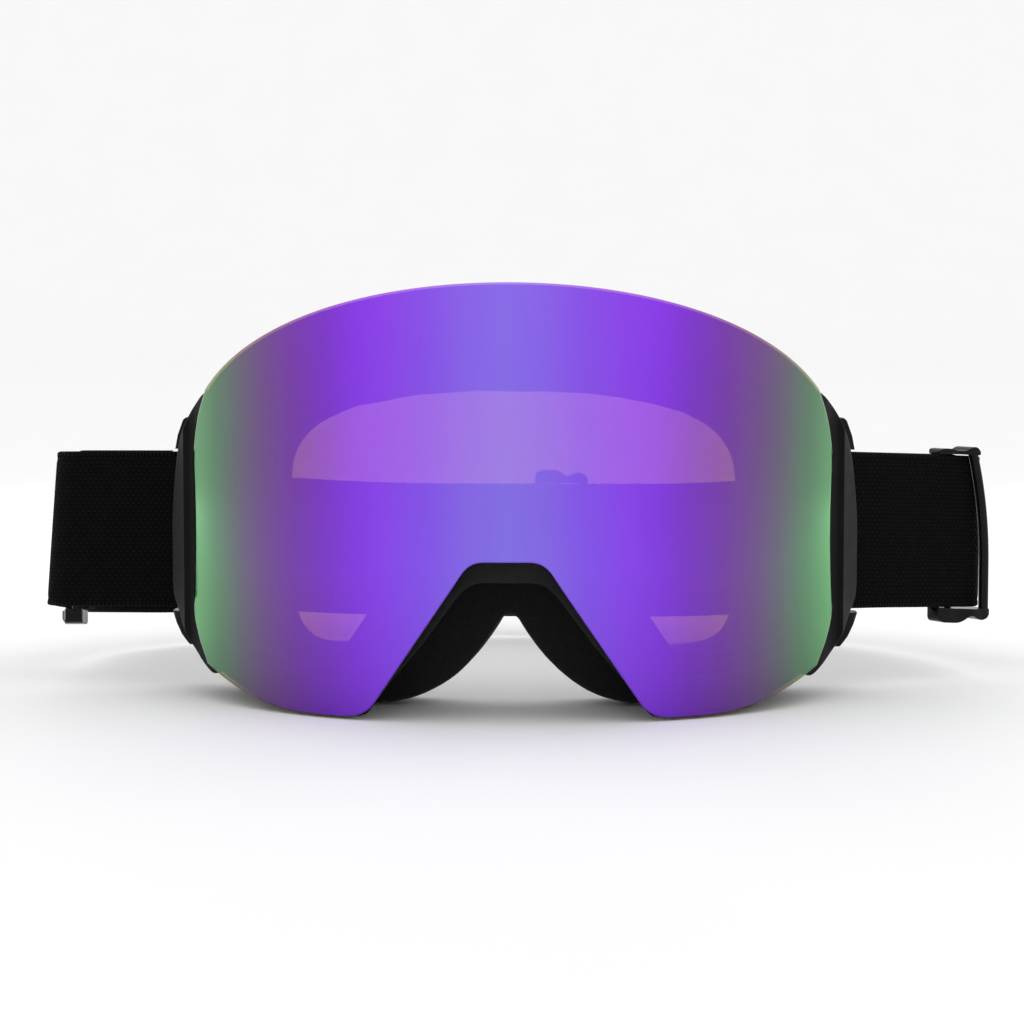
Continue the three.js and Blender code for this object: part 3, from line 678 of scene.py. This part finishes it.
def silicone():
    """Printed grip: low bars across the strip."""
    s = Surface("silicone", Specular_IOR_Level=0.4)
    bars = s.math("SINE", s.math("MULTIPLY", s.attribute("along"), 2 * math.pi / 2.6))
    s.colour(s.noise(6), grey(0.016), grey(0.026))
    s.roughness(s.noise(4), 0.35, 0.5)
    s.bump(bars, 0.25, 0.8)
    return s.material


def steel(name, dark, light, rough):
    s = Surface(name, Metallic=1.0)
    s.colour(s.noise(1.5, 6), grey(dark, 1.02), grey(light, 1.02))
    s.roughness(s.noise(0.8, 6), *rough)
    s.bump(s.noise(0.4, 4), 0.03, 0.4)
    return s.material


def floor_material():
    s = Surface("floor", Roughness=0.6, Specular_IOR_Level=0.1)
    s.colour(s.noise(120, 3), (0.955, 0.955, 0.955), (0.965, 0.965, 0.965))
    return s.material


MIRROR, LENS_RIM = mirror_lens(), lens_rim()
SUBSTRATE = tinted_pane("lens_substrate", 12, (0.11, 0.02, 0.10), (0.14, 0.03, 0.13),
                        (0.12, 0.2), (0.98, 0.93, 0.95), 0.88)
INNER = tinted_pane("inner_lens", 18, (0.16, 0.05, 0.14), (0.2, 0.07, 0.17),
                    (0.1, 0.18), (0.97, 0.9, 0.93), 0.86)
FRAME_PLASTIC = moulded("frame_plastic", 0.007, 0.010, (0.55, 0.72), 0.35, 0.05, 0.2)
# The wing's two colours are painted light and shade: the outer flank lighter where light catches
# it, the inner band darker in the lens's shade.
WING_FLANK_PAINTED_LIGHT = moulded("wing_flank_painted_light", 0.016, 0.021, (0.6, 0.75), 0.3, 0.02, 0.15)
WING_BAND_PAINTED_SHADE = moulded("wing_band_painted_shade", 0.0035, 0.0055, (0.45, 0.55), 0.3, 0.015, 0.05)
CARRIER_PLASTIC = moulded("carrier_plastic", 0.006, 0.009, (0.5, 0.65), 0.3, 0.03, 0.3)
GLOSS_PLASTIC = moulded("gloss_plastic", 0.0025, 0.004, (0.18, 0.28), 0.25, 0.008, 0.14)
GASKET_FOAM = foam("gasket_foam", 0.004, 0.012, 0.5, 0.12)
VENT_FOAM = foam("vent_foam", 0.003, 0.012, 1.1, 0.5)
BASE_FOAM = foam("base_foam", 0.005, 0.011, 0.45, 0.12)
PAD_FOAM = foam("pad_foam", 0.0035, 0.010, 0.7, 0.22)
FLEECE, WEBBING, SILICONE, THREAD = fleece(), webbing(), silicone(), thread()
MAGNET_STEEL = steel("magnet_steel", 0.45, 0.6, (0.22, 0.35))
SCREW_STEEL = steel("screw_steel", 0.3, 0.5, (0.2, 0.32))

# ---------------- lens unit
piece("lens_shield", plate("lens", [LENS_LOOP], lens_shell(LENS_RADIUS), lens_shell(93.6), 0.5,
                           coated=True),
      [MIRROR, SUBSTRATE, LENS_RIM], "lens_unit", ["outer_lens"])
piece("lens_inner_pane", plate("inner", [inset(LENS_LOOP, 9.4)], lens_shell(91.2),
                               lens_shell(90.2), 0.3),
      [INNER, INNER], "lens_unit", ["inner_lens"])
gasket = piece("lens_foam_gasket", plate(
    "gasket", [inset(LENS_LOOP, 9.6), inset(LENS_LOOP, 13.4)], lens_shell(93.3),
    lens_shell(91.5), 0.7), [GASKET_FOAM] * 2, "lens_unit", ["lens_gasket"])


MAGNET_SPOTS = [(x * side, z) for x, z in MAGNETS for side in (1, -1)]


def radial(x, z, inside, outside):
    """Two points on the ray from the lens axis through x, at two distances from that axis."""
    turn = math.asin(x / MAGNET_RADIUS)
    return [(r * math.sin(turn), LENS_RADIUS - r * math.cos(turn), z) for r in (inside, outside)]


def pockets(inside, outside):
    length = outside - inside
    return joined([turned("pocket", *radial(x, z, inside, outside),
                          [(0, 2.3), (length, 2.3)], 32) for x, z in MAGNET_SPOTS])


carrier = combined(
    plate("carrier", [inset(LENS_LOOP, 0.5), inset(LENS_LOOP, 9)], lens_shell(93.3),
          lens_shell(89.2), 0.5), [pockets(87, 91.8)])
piece("lens_carrier_ring", carrier, [CARRIER_PLASTIC], "lens_unit", ["lens_carrier"], 35)

for i, (x, z) in enumerate(MAGNET_SPOTS, 1):
    for kind, inside, outside, body in (("lens", 89.5, 91.5, "lens_unit"),
                                        ("frame", 87.4, 88.7, "goggles")):
        depth = outside - inside
        disc = turned("magnet", *radial(x, z, inside, outside),
                      [(0, 1.6), (0.12, 1.9), (0.3, 2), (depth - 0.3, 2), (depth - 0.12, 1.9),
                       (depth, 1.6)])
        piece(f"{kind}_side_magnet_{i}", disc, [MAGNET_STEEL], body,
              [f"{kind}_magnet_{i}"], 30)


# ---------------- frame and vents
def vent_cutter(x, z, width, height, tilt):
    """A slot with round ends, cut through the frame's wall and turned with its curve."""
    depth = (flange_back(x) + rear_flange(x)) / 2
    run = (rear_flange(x) - flange_back(x)) * 0.62
    corner = 1.6
    points = []
    for sx, sy, start in ((1, 1, 0), (-1, 1, 90), (-1, -1, 180), (1, -1, 270)):
        for k in range(7):
            a = math.radians(start + 15 * k)
            points.append((sx * (width / 2 - corner) + corner * math.cos(a),
                           sy * (run / 2 - corner) + corner * math.sin(a)))
    lean, turn = math.radians(tilt), math.asin(x / LENS_RADIUS)

    def place(u, v, w):
        p = Vector((u * math.cos(lean) + w * math.sin(lean), v,
                    -u * math.sin(lean) + w * math.cos(lean)))
        return (x + p.x * math.cos(turn) - p.y * math.sin(turn),
                depth - HALF_LENGTH + p.x * math.sin(turn) + p.y * math.cos(turn), z + p.z)

    return prism("vent", points, -height / 2, height / 2, place)


vents = [vent_cutter(x, 100, 14, 22, 0) for x in (-41, -21, 0, 21, 41)]
vents += [vent_cutter(64 * side, 2.5, 9, 9, -28 * side) for side in (-1, 1)]
shell = combined(
    plate("frame", [FRAME_LOOP], frame_front, frame_rear, 0.7, exact=False),
    [
        plate("lens_opening", [inset(LENS_LOOP, 10.5)], shifted(frame_front, -3),
              shifted(flange_back, 0.2), exact=False),
        plate("face_opening", [inset(BASE_INNER, -1.6)], shifted(rear_flange, -0.4),
              shifted(frame_rear, 3), exact=False),
        plate("channel", [inset(FRAME_LOOP, 2.6)], flange_back, rear_flange, exact=False),
        joined(vents),
        pockets(87.1, 90),
    ])
piece("frame_body", shell, [FRAME_PLASTIC], "goggles", ["main_frame"], 32)


def rounded_section(points, times=3):
    """A closed polygon with its corners cut again and again until they are round."""
    ring = [np.array(p, float) for p in points]
    for _ in range(times):
        ring = [q for a, b in zip(ring, ring[1:] + ring[:1])
                for q in (a * 0.78 + b * 0.22, a * 0.22 + b * 0.78)]
    return ring


def vent_foam(name, low, high, upper, node):
    normals = edge_normals(FRAME_LOOP)
    section = rounded_section([(0, 0), (0.5, 0.02), (1, 0), (1, 1), (0.5, 0.98), (0, 1)])
    rings = []
    for (x, z), n in zip(FRAME_LOOP, normals):
        if low <= x <= high and (z > 50) == upper:
            ring = []
            for a, d in section:
                px, pz = np.array((x, z)) - n * (2.95 + 3.9 * a)
                front, back = flange_back(px) + 0.35, rear_flange(px) - 0.35
                ring.append((px, front + (back - front) * d - HALF_LENGTH, pz))
            rings.append(ring)
    if rings[0][0][0] * rings[-1][0][0] < 0 and upper:  # the top strip starts at the middle
        rings.sort(key=lambda ring: ring[0][0])
    obj = piece(name, tidy(to_mesh(name, *skin(rings, False))), [VENT_FOAM], "goggles", [node],
                60)


vent_foam("vent_filter_top", -53.6, 53.6, True, "top_vent_foam")
vent_foam("vent_filter_right", 58, 71.6, False, "right_vent_foam")
vent_foam("vent_filter_left", -71.6, -58, False, "left_vent_foam")

# ---------------- side wings and strap clips
WING_EDGE = [
    (72.9, 7.3), (75.6, 6.6), (78.8, 8.8), (82, 12.2), (84.4, 15.4), (86.5, 20.4), (88.6, 25.6),
    (88.8, 34), (88.8, 43.2), (88.2, 51), (87.3, 58.4), (86, 64.6), (84.1, 69.2), (82, 72.8),
    (79.2, 76.2), (76.9, 78.0),
]
WING_FRONT = [(70, 33.8), (74, 38.7), (77, 42.9), (79, 46), (81, 49.5), (82.8, 51.6),
              (84.5, 52.4), (86, 55.4), (88.4, 59.6), (89, 61.2)]
WING_CREASE = 84.5  # X where the inner band meets the flank
WING_BACK = [(70, 52.5), (74, 56), (77, 58.8), (80, 61.2), (89, 61.2)]


def through(a, b, c, d, finer):
    """Points from b on towards c, on the curve through all four."""
    return [0.5 * (2 * b + (c - a) * t + (2 * a - 5 * b + 4 * c - d) * t * t
                   + (3 * b - a - 3 * c + d) * t**3) for t in (i / finer for i in range(finer))]


def smooth_curve(points, finer=5):
    """A curve through the points, with that many steps between each two."""
    p = [np.array(q, float) for q in points]
    p = [2 * p[0] - p[1], *p, 2 * p[-1] - p[-2]]
    return [q for four in zip(p, p[1:], p[2:], p[3:]) for q in through(*four, finer)] + [p[-2]]


def smooth_loop(points, finer=4):
    """A closed curve through the points."""
    p = [np.array(q, float) for q in points]
    turns = zip(p[-1:] + p, p, p[1:] + p[:1], p[2:] + p[:2])
    return [q for four in turns for q in through(*four, finer)]


def read_curve(points):
    xs, ds = zip(*points)
    return lambda x: float(np.interp(x, xs, ds))


def mirrored(mesh):
    mesh = mesh.copy()
    mesh.transform(((-1, 0, 0, 0), (0, 1, 0, 0), (0, 0, 1, 0), (0, 0, 0, 1)))
    mesh.flip_normals()
    return mesh


def side_wing():
    beside = [p for p in inset(FRAME_LOOP, -0.4) if p[0] > 72.8 and 8 < p[1] < 77.4]
    loop = np.array(beside + smooth_curve(WING_EDGE, 4))
    ridge = read_curve(smooth_curve(WING_FRONT[:6], 4) + smooth_curve(WING_FRONT[6:], 4))
    mesh = plate("wing", [loop], ridge, read_curve(WING_BACK), 0.45, pitch=0.8,
                 breaks=(82.8, WING_CREASE, 86, 88.2), exact=False)
    holes = [turned("hole", (SCREW_X, 55.4, z), (SCREW_X, 65, z), [(0, 1.4), (9, 1.4)], 24)
             for z in SCREW_HEIGHTS]
    mesh = combined(mesh, [joined(holes)])
    # Faces outside the crease take the flank's lighter colour as painted light, faces inside take
    # the band's darker colour as painted shade.
    for face in mesh.polygons:
        face.material_index = 0 if face.center.x > WING_CREASE else 1
    return mesh


def plan(x, depth, z):
    return (x, depth - HALF_LENGTH, z)


CLIP_FRONT = [
    (70, 11.2), (84.6, 11.2), (86.7, 14), (88.2, 17), (89.3, 20), (90, 26), (90, 48), (88.9, 58),
    (88.2, 62), (87.4, 66), (85.9, 70), (85.2, 70.6), (70, 70.6),
]


def strap_clip():
    """The C-shaped bracket: two lugs for the pin's ends, joined by a spine."""
    nose = [(PIN["x"] + 4.5 * math.sin(a), PIN["depth"] - 4.5 * math.cos(a))
            for a in [math.pi * i / 24 for i in range(25)]]
    body = prism("clip", [(78.9, 61.6), *nose, (78.9, 70.6)], 11.2, 70.6, plan, 0.9, 4)
    front_view = prism("front", CLIP_FRONT, 50, 80, lambda x, z, d: (x, d - HALF_LENGTH, z))
    body = combined(body, [front_view], "INTERSECT")
    slot = prism("slot", [(81.5, 55), (95, 55), (95, 80), (81.5, 80)], 20, 62.4, plan)
    bore = turned("bore", (PIN["x"], PIN["depth"], PIN["bottom"] - 0.4),
                  (PIN["x"], PIN["depth"], PIN["top"] + 0.4),
                  [(0, 1.9), (PIN["top"] - PIN["bottom"] + 0.8, 1.9)])
    holes = [turned("hole", (SCREW_X, 50, z), (SCREW_X, 75, z),
                    [(0, 1.4), (18.7, 1.4), (18.7, 2.2), (25, 2.2)], 32) for z in SCREW_HEIGHTS]
    return combined(body, [slot, bore, joined(holes)])


def screw(z):
    """Pan-head screw with a cross recess."""
    stem = turned("screw", (SCREW_X, 56, z), (SCREW_X, 80, z),
                  [(0, 0.3), (0.8, 1.1), (13, 1.1), (13, 1.9), (13.8, 1.9), (14.3, 1.6),
                   (14.5, 1.1)], 40)
    bars = [prism("bar", [(SCREW_X - a, z - b), (SCREW_X + a, z - b), (SCREW_X + a, z + b),
                          (SCREW_X - a, z + b)], 69.6, 72, lambda x, h, d: (x, d - HALF_LENGTH, h))
            for a, b in ((1.0, 0.26), (0.26, 1.0))]
    return combined(stem, bars)


right_wing, right_clip = side_wing(), strap_clip()
pin_length = PIN["top"] - PIN["bottom"]
right_pin = turned("pin", (PIN["x"], PIN["depth"], PIN["bottom"]),
                   (PIN["x"], PIN["depth"], PIN["top"]),
                   [(0, 1.2), (0.4, 1.6), (pin_length - 0.4, 1.6), (pin_length, 1.2)])
screws = {"lower": screw(SCREW_HEIGHTS[0]), "upper": screw(SCREW_HEIGHTS[1])}
for side, version in (("left", mirrored), ("right", lambda mesh: mesh.copy())):
    piece(f"wing_{side}", version(right_wing), [WING_FLANK_PAINTED_LIGHT, WING_BAND_PAINTED_SHADE], "goggles",
          [f"{side}_side_wing"], 24)
    softened(piece(f"clip_{side}", version(right_clip), [GLOSS_PLASTIC], "goggles",
                   [f"{side}_strap_clip"], 35), 0.3)
    piece(f"pin_{side}", version(right_pin), [SCREW_STEEL], "goggles",
          [f"{side}_strap_pin"], 35)
    for level, mesh in screws.items():
        piece(f"screw_{side}_{level}", version(mesh), [SCREW_STEEL], "goggles",
              [f"{side}_{level}_screw"], 30)


# ---------------- foam against the face
def foam_ring(name, section, node, material, wobble, dimple=0.0,
              inner=FOAM_INNER):
    """A soft ring lofted round the frame, with an uneven hand-made surface."""
    rings = []
    for (ox, oz), (ix, iz) in zip(FOAM_OUTER, inner):
        ring = []
        for across, through in section:
            x, z = ox + (ix - ox) * across, oz + (iz - oz) * across
            depth = frame_rear(x) + (face_surface(x) - frame_rear(x)) * through
            p = Vector((x, depth - HALF_LENGTH, z))
            centre = Vector(((ox + ix) / 2, p.y, (oz + iz) / 2))
            push = noise.noise(p * 0.09) * wobble + noise.noise(p * 0.35) * wobble * 0.35
            push -= dimple * max(0, noise.noise(p * 0.16 + Vector((9, 4, 2))))
            ring.append(p + (p - centre).normalized() * push)
        rings.append(ring)
    obj = piece(name, tidy(to_mesh(name, *skin(rings, True))), [material], "goggles", [node],
                75)


foam_ring("foam_base", rounded_section([(0.03, 0.012), (0.5, 0.012), (0.97, 0.012), (1.0, 0.14),
                                        (1.0, 0.28), (0.5, 0.28), (0.0, 0.28), (0.0, 0.14)]),
          "face_foam_base", BASE_FOAM, 0.18, inner=BASE_INNER)
foam_ring("foam_pad", rounded_section([(0.01, 0.28), (0.5, 0.28), (0.99, 0.28), (1.035, 0.52),
                                       (0.99, 0.765), (0.5, 0.765), (0.02, 0.765), (-0.035, 0.52)]),
          "face_foam_pad", PAD_FOAM, 0.4, 0.5)
foam_ring("fleece_facing", rounded_section([(0.02, 0.765), (0.5, 0.765), (0.99, 0.765),
                                            (0.99, 0.9), (0.84, 0.99), (0.5, 1.0), (0.18, 0.99),
                                            (0.02, 0.9)]),
          "face_fleece", FLEECE, 0.4, 0.3)


# ---------------- strap
def walk(start, heading, moves):
    """Plan points (x, depth) of a path: go (mm), turn (radius, degrees), or curve to an end."""
    here = np.array(start, float)
    path = [here]

    def ray(angle):
        return np.array((math.cos(angle), math.sin(angle)))

    for kind, *value in moves:
        if kind == "go":
            steps = max(1, int(value[0] / 2))
            path += [here + ray(heading) * value[0] * i / steps for i in range(1, steps + 1)]
        elif kind == "turn":
            radius, swing = value[0], math.radians(value[1])
            side = math.copysign(math.pi / 2, swing)
            centre = here + ray(heading + side) * radius
            steps = math.ceil(abs(value[1]) / 7)
            path += [centre + ray(heading - side + swing * i / steps) * radius
                     for i in range(1, steps + 1)]
            heading += swing
        else:
            end, final, (leave, arrive) = value
            end = np.array(end, float)
            pulls = [here, here + ray(heading) * leave, end - ray(final) * arrive, end]
            path += [bezier(pulls, i / 70) for i in range(1, 71)]
            heading = final
        here = path[-1]
    return path


def level_at(levels, depth):
    return float(np.interp(depth, *zip(*levels)))


def stations(path, levels, outward):
    """(x, depth, height, normal x, normal depth) at each point, with the heights eased."""
    path = np.array(path)
    tangent = np.gradient(path, axis=0)
    tangent /= np.linalg.norm(tangent, axis=1)[:, None]
    steps = np.r_[0, np.cumsum(np.linalg.norm(np.diff(path, axis=0), axis=1))]
    z = np.array([level_at(levels, d) for d in path[:, 1]])
    eased = np.array([np.average(z, weights=np.exp(-((steps - s) / 6) ** 2)) for s in steps])
    return np.c_[path, eased, -tangent[:, 1] * outward, tangent[:, 0] * outward]


LEFT_PATH = walk((-PIN["x"] - 4, PIN["depth"] + WRAP_RADIUS), 0, [
    ("go", 4), ("turn", WRAP_RADIUS, -180), ("go", 114.85 - PIN["x"]), ("turn", 6.5, -90),
    ("go", LEFT_LEG_END - 70),
    ("curve", (-18, REAR_DEPTH), 0, (38, 62)), ("go", 14)])
leg_cos, leg_sin = math.cos(RIGHT_LEG_ANGLE), math.sin(RIGHT_LEG_ANGLE)
RIGHT_PATH = walk(
    (PIN["x"] - WRAP_RADIUS * leg_sin + 4 * leg_cos, PIN["depth"] + WRAP_RADIUS * leg_cos
     + 4 * leg_sin), math.pi + RIGHT_LEG_ANGLE, [
        ("go", 4), ("turn", WRAP_RADIUS, 180), ("go", RIGHT_SLIDER_AT + 4.6), ("turn", 6, 62),
        ("curve", (38, REAR_DEPTH), math.pi, (46, 58))])
LEFT_STATIONS = stations(LEFT_PATH, LEFT_LEVELS, 1)
RIGHT_STATIONS = stations(RIGHT_PATH, RIGHT_LEVELS, -1)


def make_leg(x, depth, tangent, normal, levels):
    ahead = min(depth + tangent[1], REAR_DEPTH)
    z = level_at(levels, depth)
    return {"x": x, "depth": depth, "z": z, "tangent": tangent, "normal": normal,
            "slope": level_at(levels, ahead) - z}


RIGHT_LEG = make_leg(PIN["x"] + WRAP_RADIUS * leg_sin + RIGHT_SLIDER_AT * leg_cos,
                     PIN["depth"] - WRAP_RADIUS * leg_cos + RIGHT_SLIDER_AT * leg_sin,
                     (leg_cos, leg_sin), (leg_sin, -leg_cos), RIGHT_LEVELS)
LEFT_LEG_X = min(p[0] for p in LEFT_PATH if abs(p[1] - 100) < 3)
LEFT_LEG = make_leg(LEFT_LEG_X, LEFT_SLIDER_DEPTH, (0, 1), (-1, 0), LEFT_LEVELS)
REAR_SPOT = make_leg(REAR_SLIDER_X, REAR_DEPTH, (1, 0), (0, 1), LEFT_LEVELS)


def on_leg(leg):
    """Strap coordinates (along, outwards, up) to the object's own."""
    (tx, ty), (nx, ny) = leg["tangent"], leg["normal"]

    def place(s, n, w):
        return (leg["x"] + tx * s + nx * n, leg["depth"] - HALF_LENGTH + ty * s + ny * n,
                leg["z"] + leg["slope"] * s + w)

    return place


def web_section(height=WEB_HEIGHT, thickness=WEB_THICKNESS, rows=26, edge=2.0):
    """(outwards, up) round a woven strip with beaded edges and a faint crown."""
    half, t = height / 2, thickness / 2

    def swell(w):
        near = (half - abs(w)) / edge
        return t * (0.86 + 0.14 * math.cos(w / half * 1.2)
                    - 0.22 * math.exp(-((near - 1) / 0.25) ** 2))

    heights = [half * math.sin(math.pi / 2 * k) for k in np.linspace(1, -1, rows)]
    heights = [w * (half - 0.5) / half for w in heights]
    front = [(swell(w), w) for w in heights]
    back = [(-swell(w), w) for w in reversed(heights)]
    cap = [(t * 0.75 * math.cos(a), -(half - 0.5) - 0.5 * math.sin(a))
           for a in (math.radians(d) for d in (35, 90, 145))]
    top = [(-n, -w) for n, w in cap]
    return front + cap + back + top


def store(mesh, along, across):
    """Keeps each point's place on the webbing, in millimetres, for the weave."""
    for name, values in (("along", along), ("across", across)):
        mesh.attributes.new(name, "FLOAT", "POINT").data.foreach_set("value", values)


def left_twist(x, depth):
    """How far the left fold leans, for each millimetre of height: its lower edge is wider."""
    reach = np.interp(-x, (96, 114), (0, 1))
    fade = np.interp(depth, (74, 84), (1, 0))
    return 0.08 * reach * fade


def ribbon(list_, offset, section, middle=0.0, ripple=0.0):
    """A strip along stations at an offset from the band, with its own length and height kept."""
    points = list_[:, :2]
    along = np.r_[0, np.cumsum(np.linalg.norm(np.diff(points, axis=0), axis=1))]
    rings = []
    for (x, depth, z, nx, ny), s in zip(list_, along):
        lean = left_twist(x, depth) if x < 0 else 0
        wave = ripple * noise.noise(Vector((s * 0.05, 0, 0)))
        ring = []
        for n, w in section:
            out = offset + n + wave * (0.4 + 0.6 * (w / WEB_HEIGHT) * 2)
            ring.append(Vector((x + nx * out + lean * w, depth + ny * out - HALF_LENGTH,
                                z + middle + w)))
        rings.append(ring)
    mesh = to_mesh("ribbon", *skin(rings, False))
    store(mesh, [s for s in along for _ in section], [w for _ in along for _, w in section])
    return tidy(mesh, weld=False)


SECTION = web_section()
band = np.vstack([LEFT_STATIONS, RIGHT_STATIONS[::-1]])
webbing_band = piece("band_webbing", ribbon(band, 0, SECTION, ripple=0.2), [WEBBING], "goggles",
                     ["strap_band"], 60)
webbing_band.visible_glossy = False  # keeps the strap's image out of the edges of the lens


def leg_station(leg, s):
    return [leg["x"] + leg["tangent"][0] * s, leg["depth"] + leg["tangent"][1] * s,
            leg["z"] + leg["slope"] * s, *leg["normal"]]


tail_end = -LOOP_TONGUE - GAP
first = [[-PIN["x"] - 4 - GAP, PIN["depth"] - WRAP_RADIUS, 41.4, 0, -1]]
middle_part = [s for s in LEFT_STATIONS if s[0] < -PIN["x"] - 5
               and s[1] < LEFT_SLIDER_DEPTH - LOOP_TONGUE - 0.8]
left_line = np.array(first + middle_part + [leg_station(LEFT_LEG, tail_end)])
right_line = np.array([leg_station(RIGHT_LEG, s) for s in np.linspace(
    -RIGHT_SLIDER_AT + 4 + GAP, tail_end, 16)])
for side, line, start, end in (
        ("left", left_line, leg_station(LEFT_LEG, -21), leg_station(LEFT_LEG, -7.5)),
        ("right", right_line, leg_station(RIGHT_LEG, -35.5), leg_station(RIGHT_LEG, -5.5))):
    tail = piece(f"tail_webbing_{side}", ribbon(line, INNER_LAYER, SECTION), [WEBBING], None,
                 [f"{side}_tail"], 60)
    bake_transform(tail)

for side, list_ in (("left", LEFT_STATIONS), ("right", RIGHT_STATIONS)):
    part = np.array([s for s in list_ if s[1] > 116 and abs(s[0]) > 48])
    for level, middle in (("upper", 9.5), ("lower", -9.5)):
        strip = [(n * 0.42, w) for n, w in web_section(5, 1, 8, 0.8)]
        piece(f"grip_{side}_{level}", ribbon(part, -1.25, strip, middle), [SILICONE], "goggles",
              [f"{side}_{level}_grip"], 60)


# ---------------- sliders and sewn loops
def arc(cx, cy, radius, start, end, count):
    return [(cx + radius * math.cos(a), cy + radius * math.sin(a))
            for a in np.linspace(start, end, count)]


def tail_loop(leg):
    """Sewn end of the strap, closed round the slider's centre bar."""
    back, front_ = INNER_LAYER - WEB_THICKNESS / 2, INNER_LAYER + WEB_THICKNESS / 2
    outer = [(1.85, back + 0.6), *arc(0, CENTRE_BAR_AT, 1.85, 0, math.pi, 17), (-1.85, front_),
             (-LOOP_TONGUE, front_), (-LOOP_TONGUE, back), (1.3, back)]
    half = WEB_HEIGHT / 2
    body = prism("loop", outer, -half, half, on_leg(leg), 0.45, 3)
    eye = prism("eye", arc(0, CENTRE_BAR_AT, 1.15, 0, 2 * math.pi, 33)[:-1], -30, 30, on_leg(leg))
    mesh = combined(body, [eye])
    place = on_leg(leg)
    origin = np.array(place(0, 0, 0))
    tangent = np.array(place(1, 0, 0)) - origin
    co = np.array([v.co for v in mesh.vertices]) - origin
    s = co @ tangent
    store(mesh, s, co[:, 2] - leg["slope"] * s)
    return mesh


def stitches(leg, front, rows):
    """Short thread stitches standing on a face of the webbing, in rows (s, w from, w to)."""
    meshes = []
    place = on_leg(leg)
    for s0, w0, s1, w1 in rows:
        length = math.hypot(s1 - s0, w1 - w0)
        count = max(1, round(length / 2.4))
        for i in range(count):
            a, b = (i + 0.12) / count, (i + 0.88) / count
            ends = [Vector(place(s0 + (s1 - s0) * t, front, w0 + (w1 - w0) * t)) for t in (a, b)]
            ends = [(p.x, p.y + HALF_LENGTH, p.z) for p in ends]
            run = length / count * 0.76
            meshes.append(turned("stitch", ends[0], ends[1],
                                 [(0, 0.08), (run * 0.12, 0.2), (run * 0.5, 0.27),
                                  (run * 0.88, 0.2), (run, 0.08)], 8))
    return joined(meshes)


def slider(leg, way=1):
    """Three-bar slider: a thick rail, a thin rail and a bowed outer bar. way -1 turns it over."""
    base = on_leg(leg)

    def place(s, n, w):
        return base(s, n, w * way)

    thick = smooth_loop([(-6.5, -20.7), (-6.3, -23.2), (-5.2, -24.3), (-2.8, -24.5), (-0.4, -24.5),
                         (1.2, -23.9), (2.4, -22.9), (3.6, -22.7), (5.8, -23.6), (7.4, -23.5),
                         (8.8, -22.6), (9.3, -20.7), (4, -20.7), (-2, -20.7)])
    thin = smooth_loop([(-6.5, 20.5), (-6.4, 21.3), (-5.2, 21.9), (-2.6, 21.9), (-1, 21.5),
                        (1.2, 21.5), (2.6, 22.3), (3.8, 22.6), (5.1, 21.8), (5.1, 20.5),
                        (1, 20.5), (-3, 20.5)])
    side = smooth_loop([(-6.5, -3), (-5.8, -3.9), (-2, -3.9), (2, -3.9), (5.6, -2.6), (9.3, -1.2),
                        (9.3, 2.8), (8.6, 3.5), (6, 3.5), (3.5, 3.5), (0, 1.8), (-6.5, 0.6)])
    cut = prism("side", side, -30, 30, place)
    rails = [combined(prism("rail", rail, -3.95, 3.55, lambda s, w, n: place(s, n, w)), [cut],
                      "INTERSECT") for rail in (thick, thin)]
    low, high = -20.9, 20.7
    bars = [prism("bar", b, low, high, place) for b in (
        smooth_loop([(-6.4, -3), (-5.8, -3.6), (-4.7, -3.6), (-4.2, -3), (-4.2, -1.7),
                     (-4.7, -1.15), (-5.8, -1.15), (-6.4, -1.7)]),
        arc(0, CENTRE_BAR_AT, 0.9, 0, 2 * math.pi, 25)[:-1])]
    outer = smooth_loop([(6.8, 1.7), (7.4, 1.15), (8.6, 1.15), (9.2, 1.8), (9.2, 2.8), (8.6, 3.4),
                         (7.5, 3.4), (6.8, 2.8)])
    rings = [[Vector(place(s - 4.6 * (max(w + 8, 0) / 30) ** 2, n, w)) for s, n in outer]
             for w in np.linspace(low, high, 30)]
    bars.append(tidy(to_mesh("bowed", *skin(rings, False))))
    return combined(rails[0], [rails[1], *bars], "UNION")


for side, leg, body in (("left", LEFT_LEG, "left_adjuster"),
                        ("right", RIGHT_LEG, "right_adjuster")):
    loop = piece(f"loop_webbing_{side}", tail_loop(leg), [WEBBING], body, [f"{side}_tail_loop"],
                 50)
    seam = stitches(leg, INNER_LAYER - WEB_THICKNESS / 2 - 0.02, [
        (-6.8, -17.5, -6.8, 17.5), (-3.4, -17.5, -3.4, 17.5), (-6.8, 17.5, -3.4, 17.5),
        (-6.8, -17.5, -3.4, -17.5)])
    piece(f"loop_thread_{side}", seam, [THREAD], body, [], 60)
for name, leg, way, body, node in (
        ("slider_left", LEFT_LEG, 1, "left_adjuster", "left_slider"),
        ("slider_right", RIGHT_LEG, 1, "right_adjuster", "right_slider"),
        ("slider_rear", REAR_SPOT, -1, "rear_keeper", "rear_slider")):
    softened(piece(name, slider(leg, way), [GLOSS_PLASTIC], body, [node], 38),
             0.45, 3, 38)


# ---------------- floor
def add_floor():
    """A level floor that curves up into a backdrop far behind."""
    half, reach = 6, 5
    profile = [(-6, 0), (reach, 0)]
    profile += [(reach + 2 * math.sin(a), 2 - 2 * math.cos(a))
                for a in [math.pi / 2 * i / 12 for i in range(1, 13)]]
    profile.append((reach + 2, 6))
    verts = [(x, y, z - 0.0002) for y, z in profile for x in (-half, half)]
    faces = [(2 * i, 2 * i + 1, 2 * i + 3, 2 * i + 2) for i in range(len(profile) - 1)]
    mesh = bpy.data.meshes.new("floor")
    mesh.from_pydata(verts, [], faces)
    mesh.shade_smooth()
    mesh.materials.append(floor_material())
    placed("floor", mesh)


add_floor()
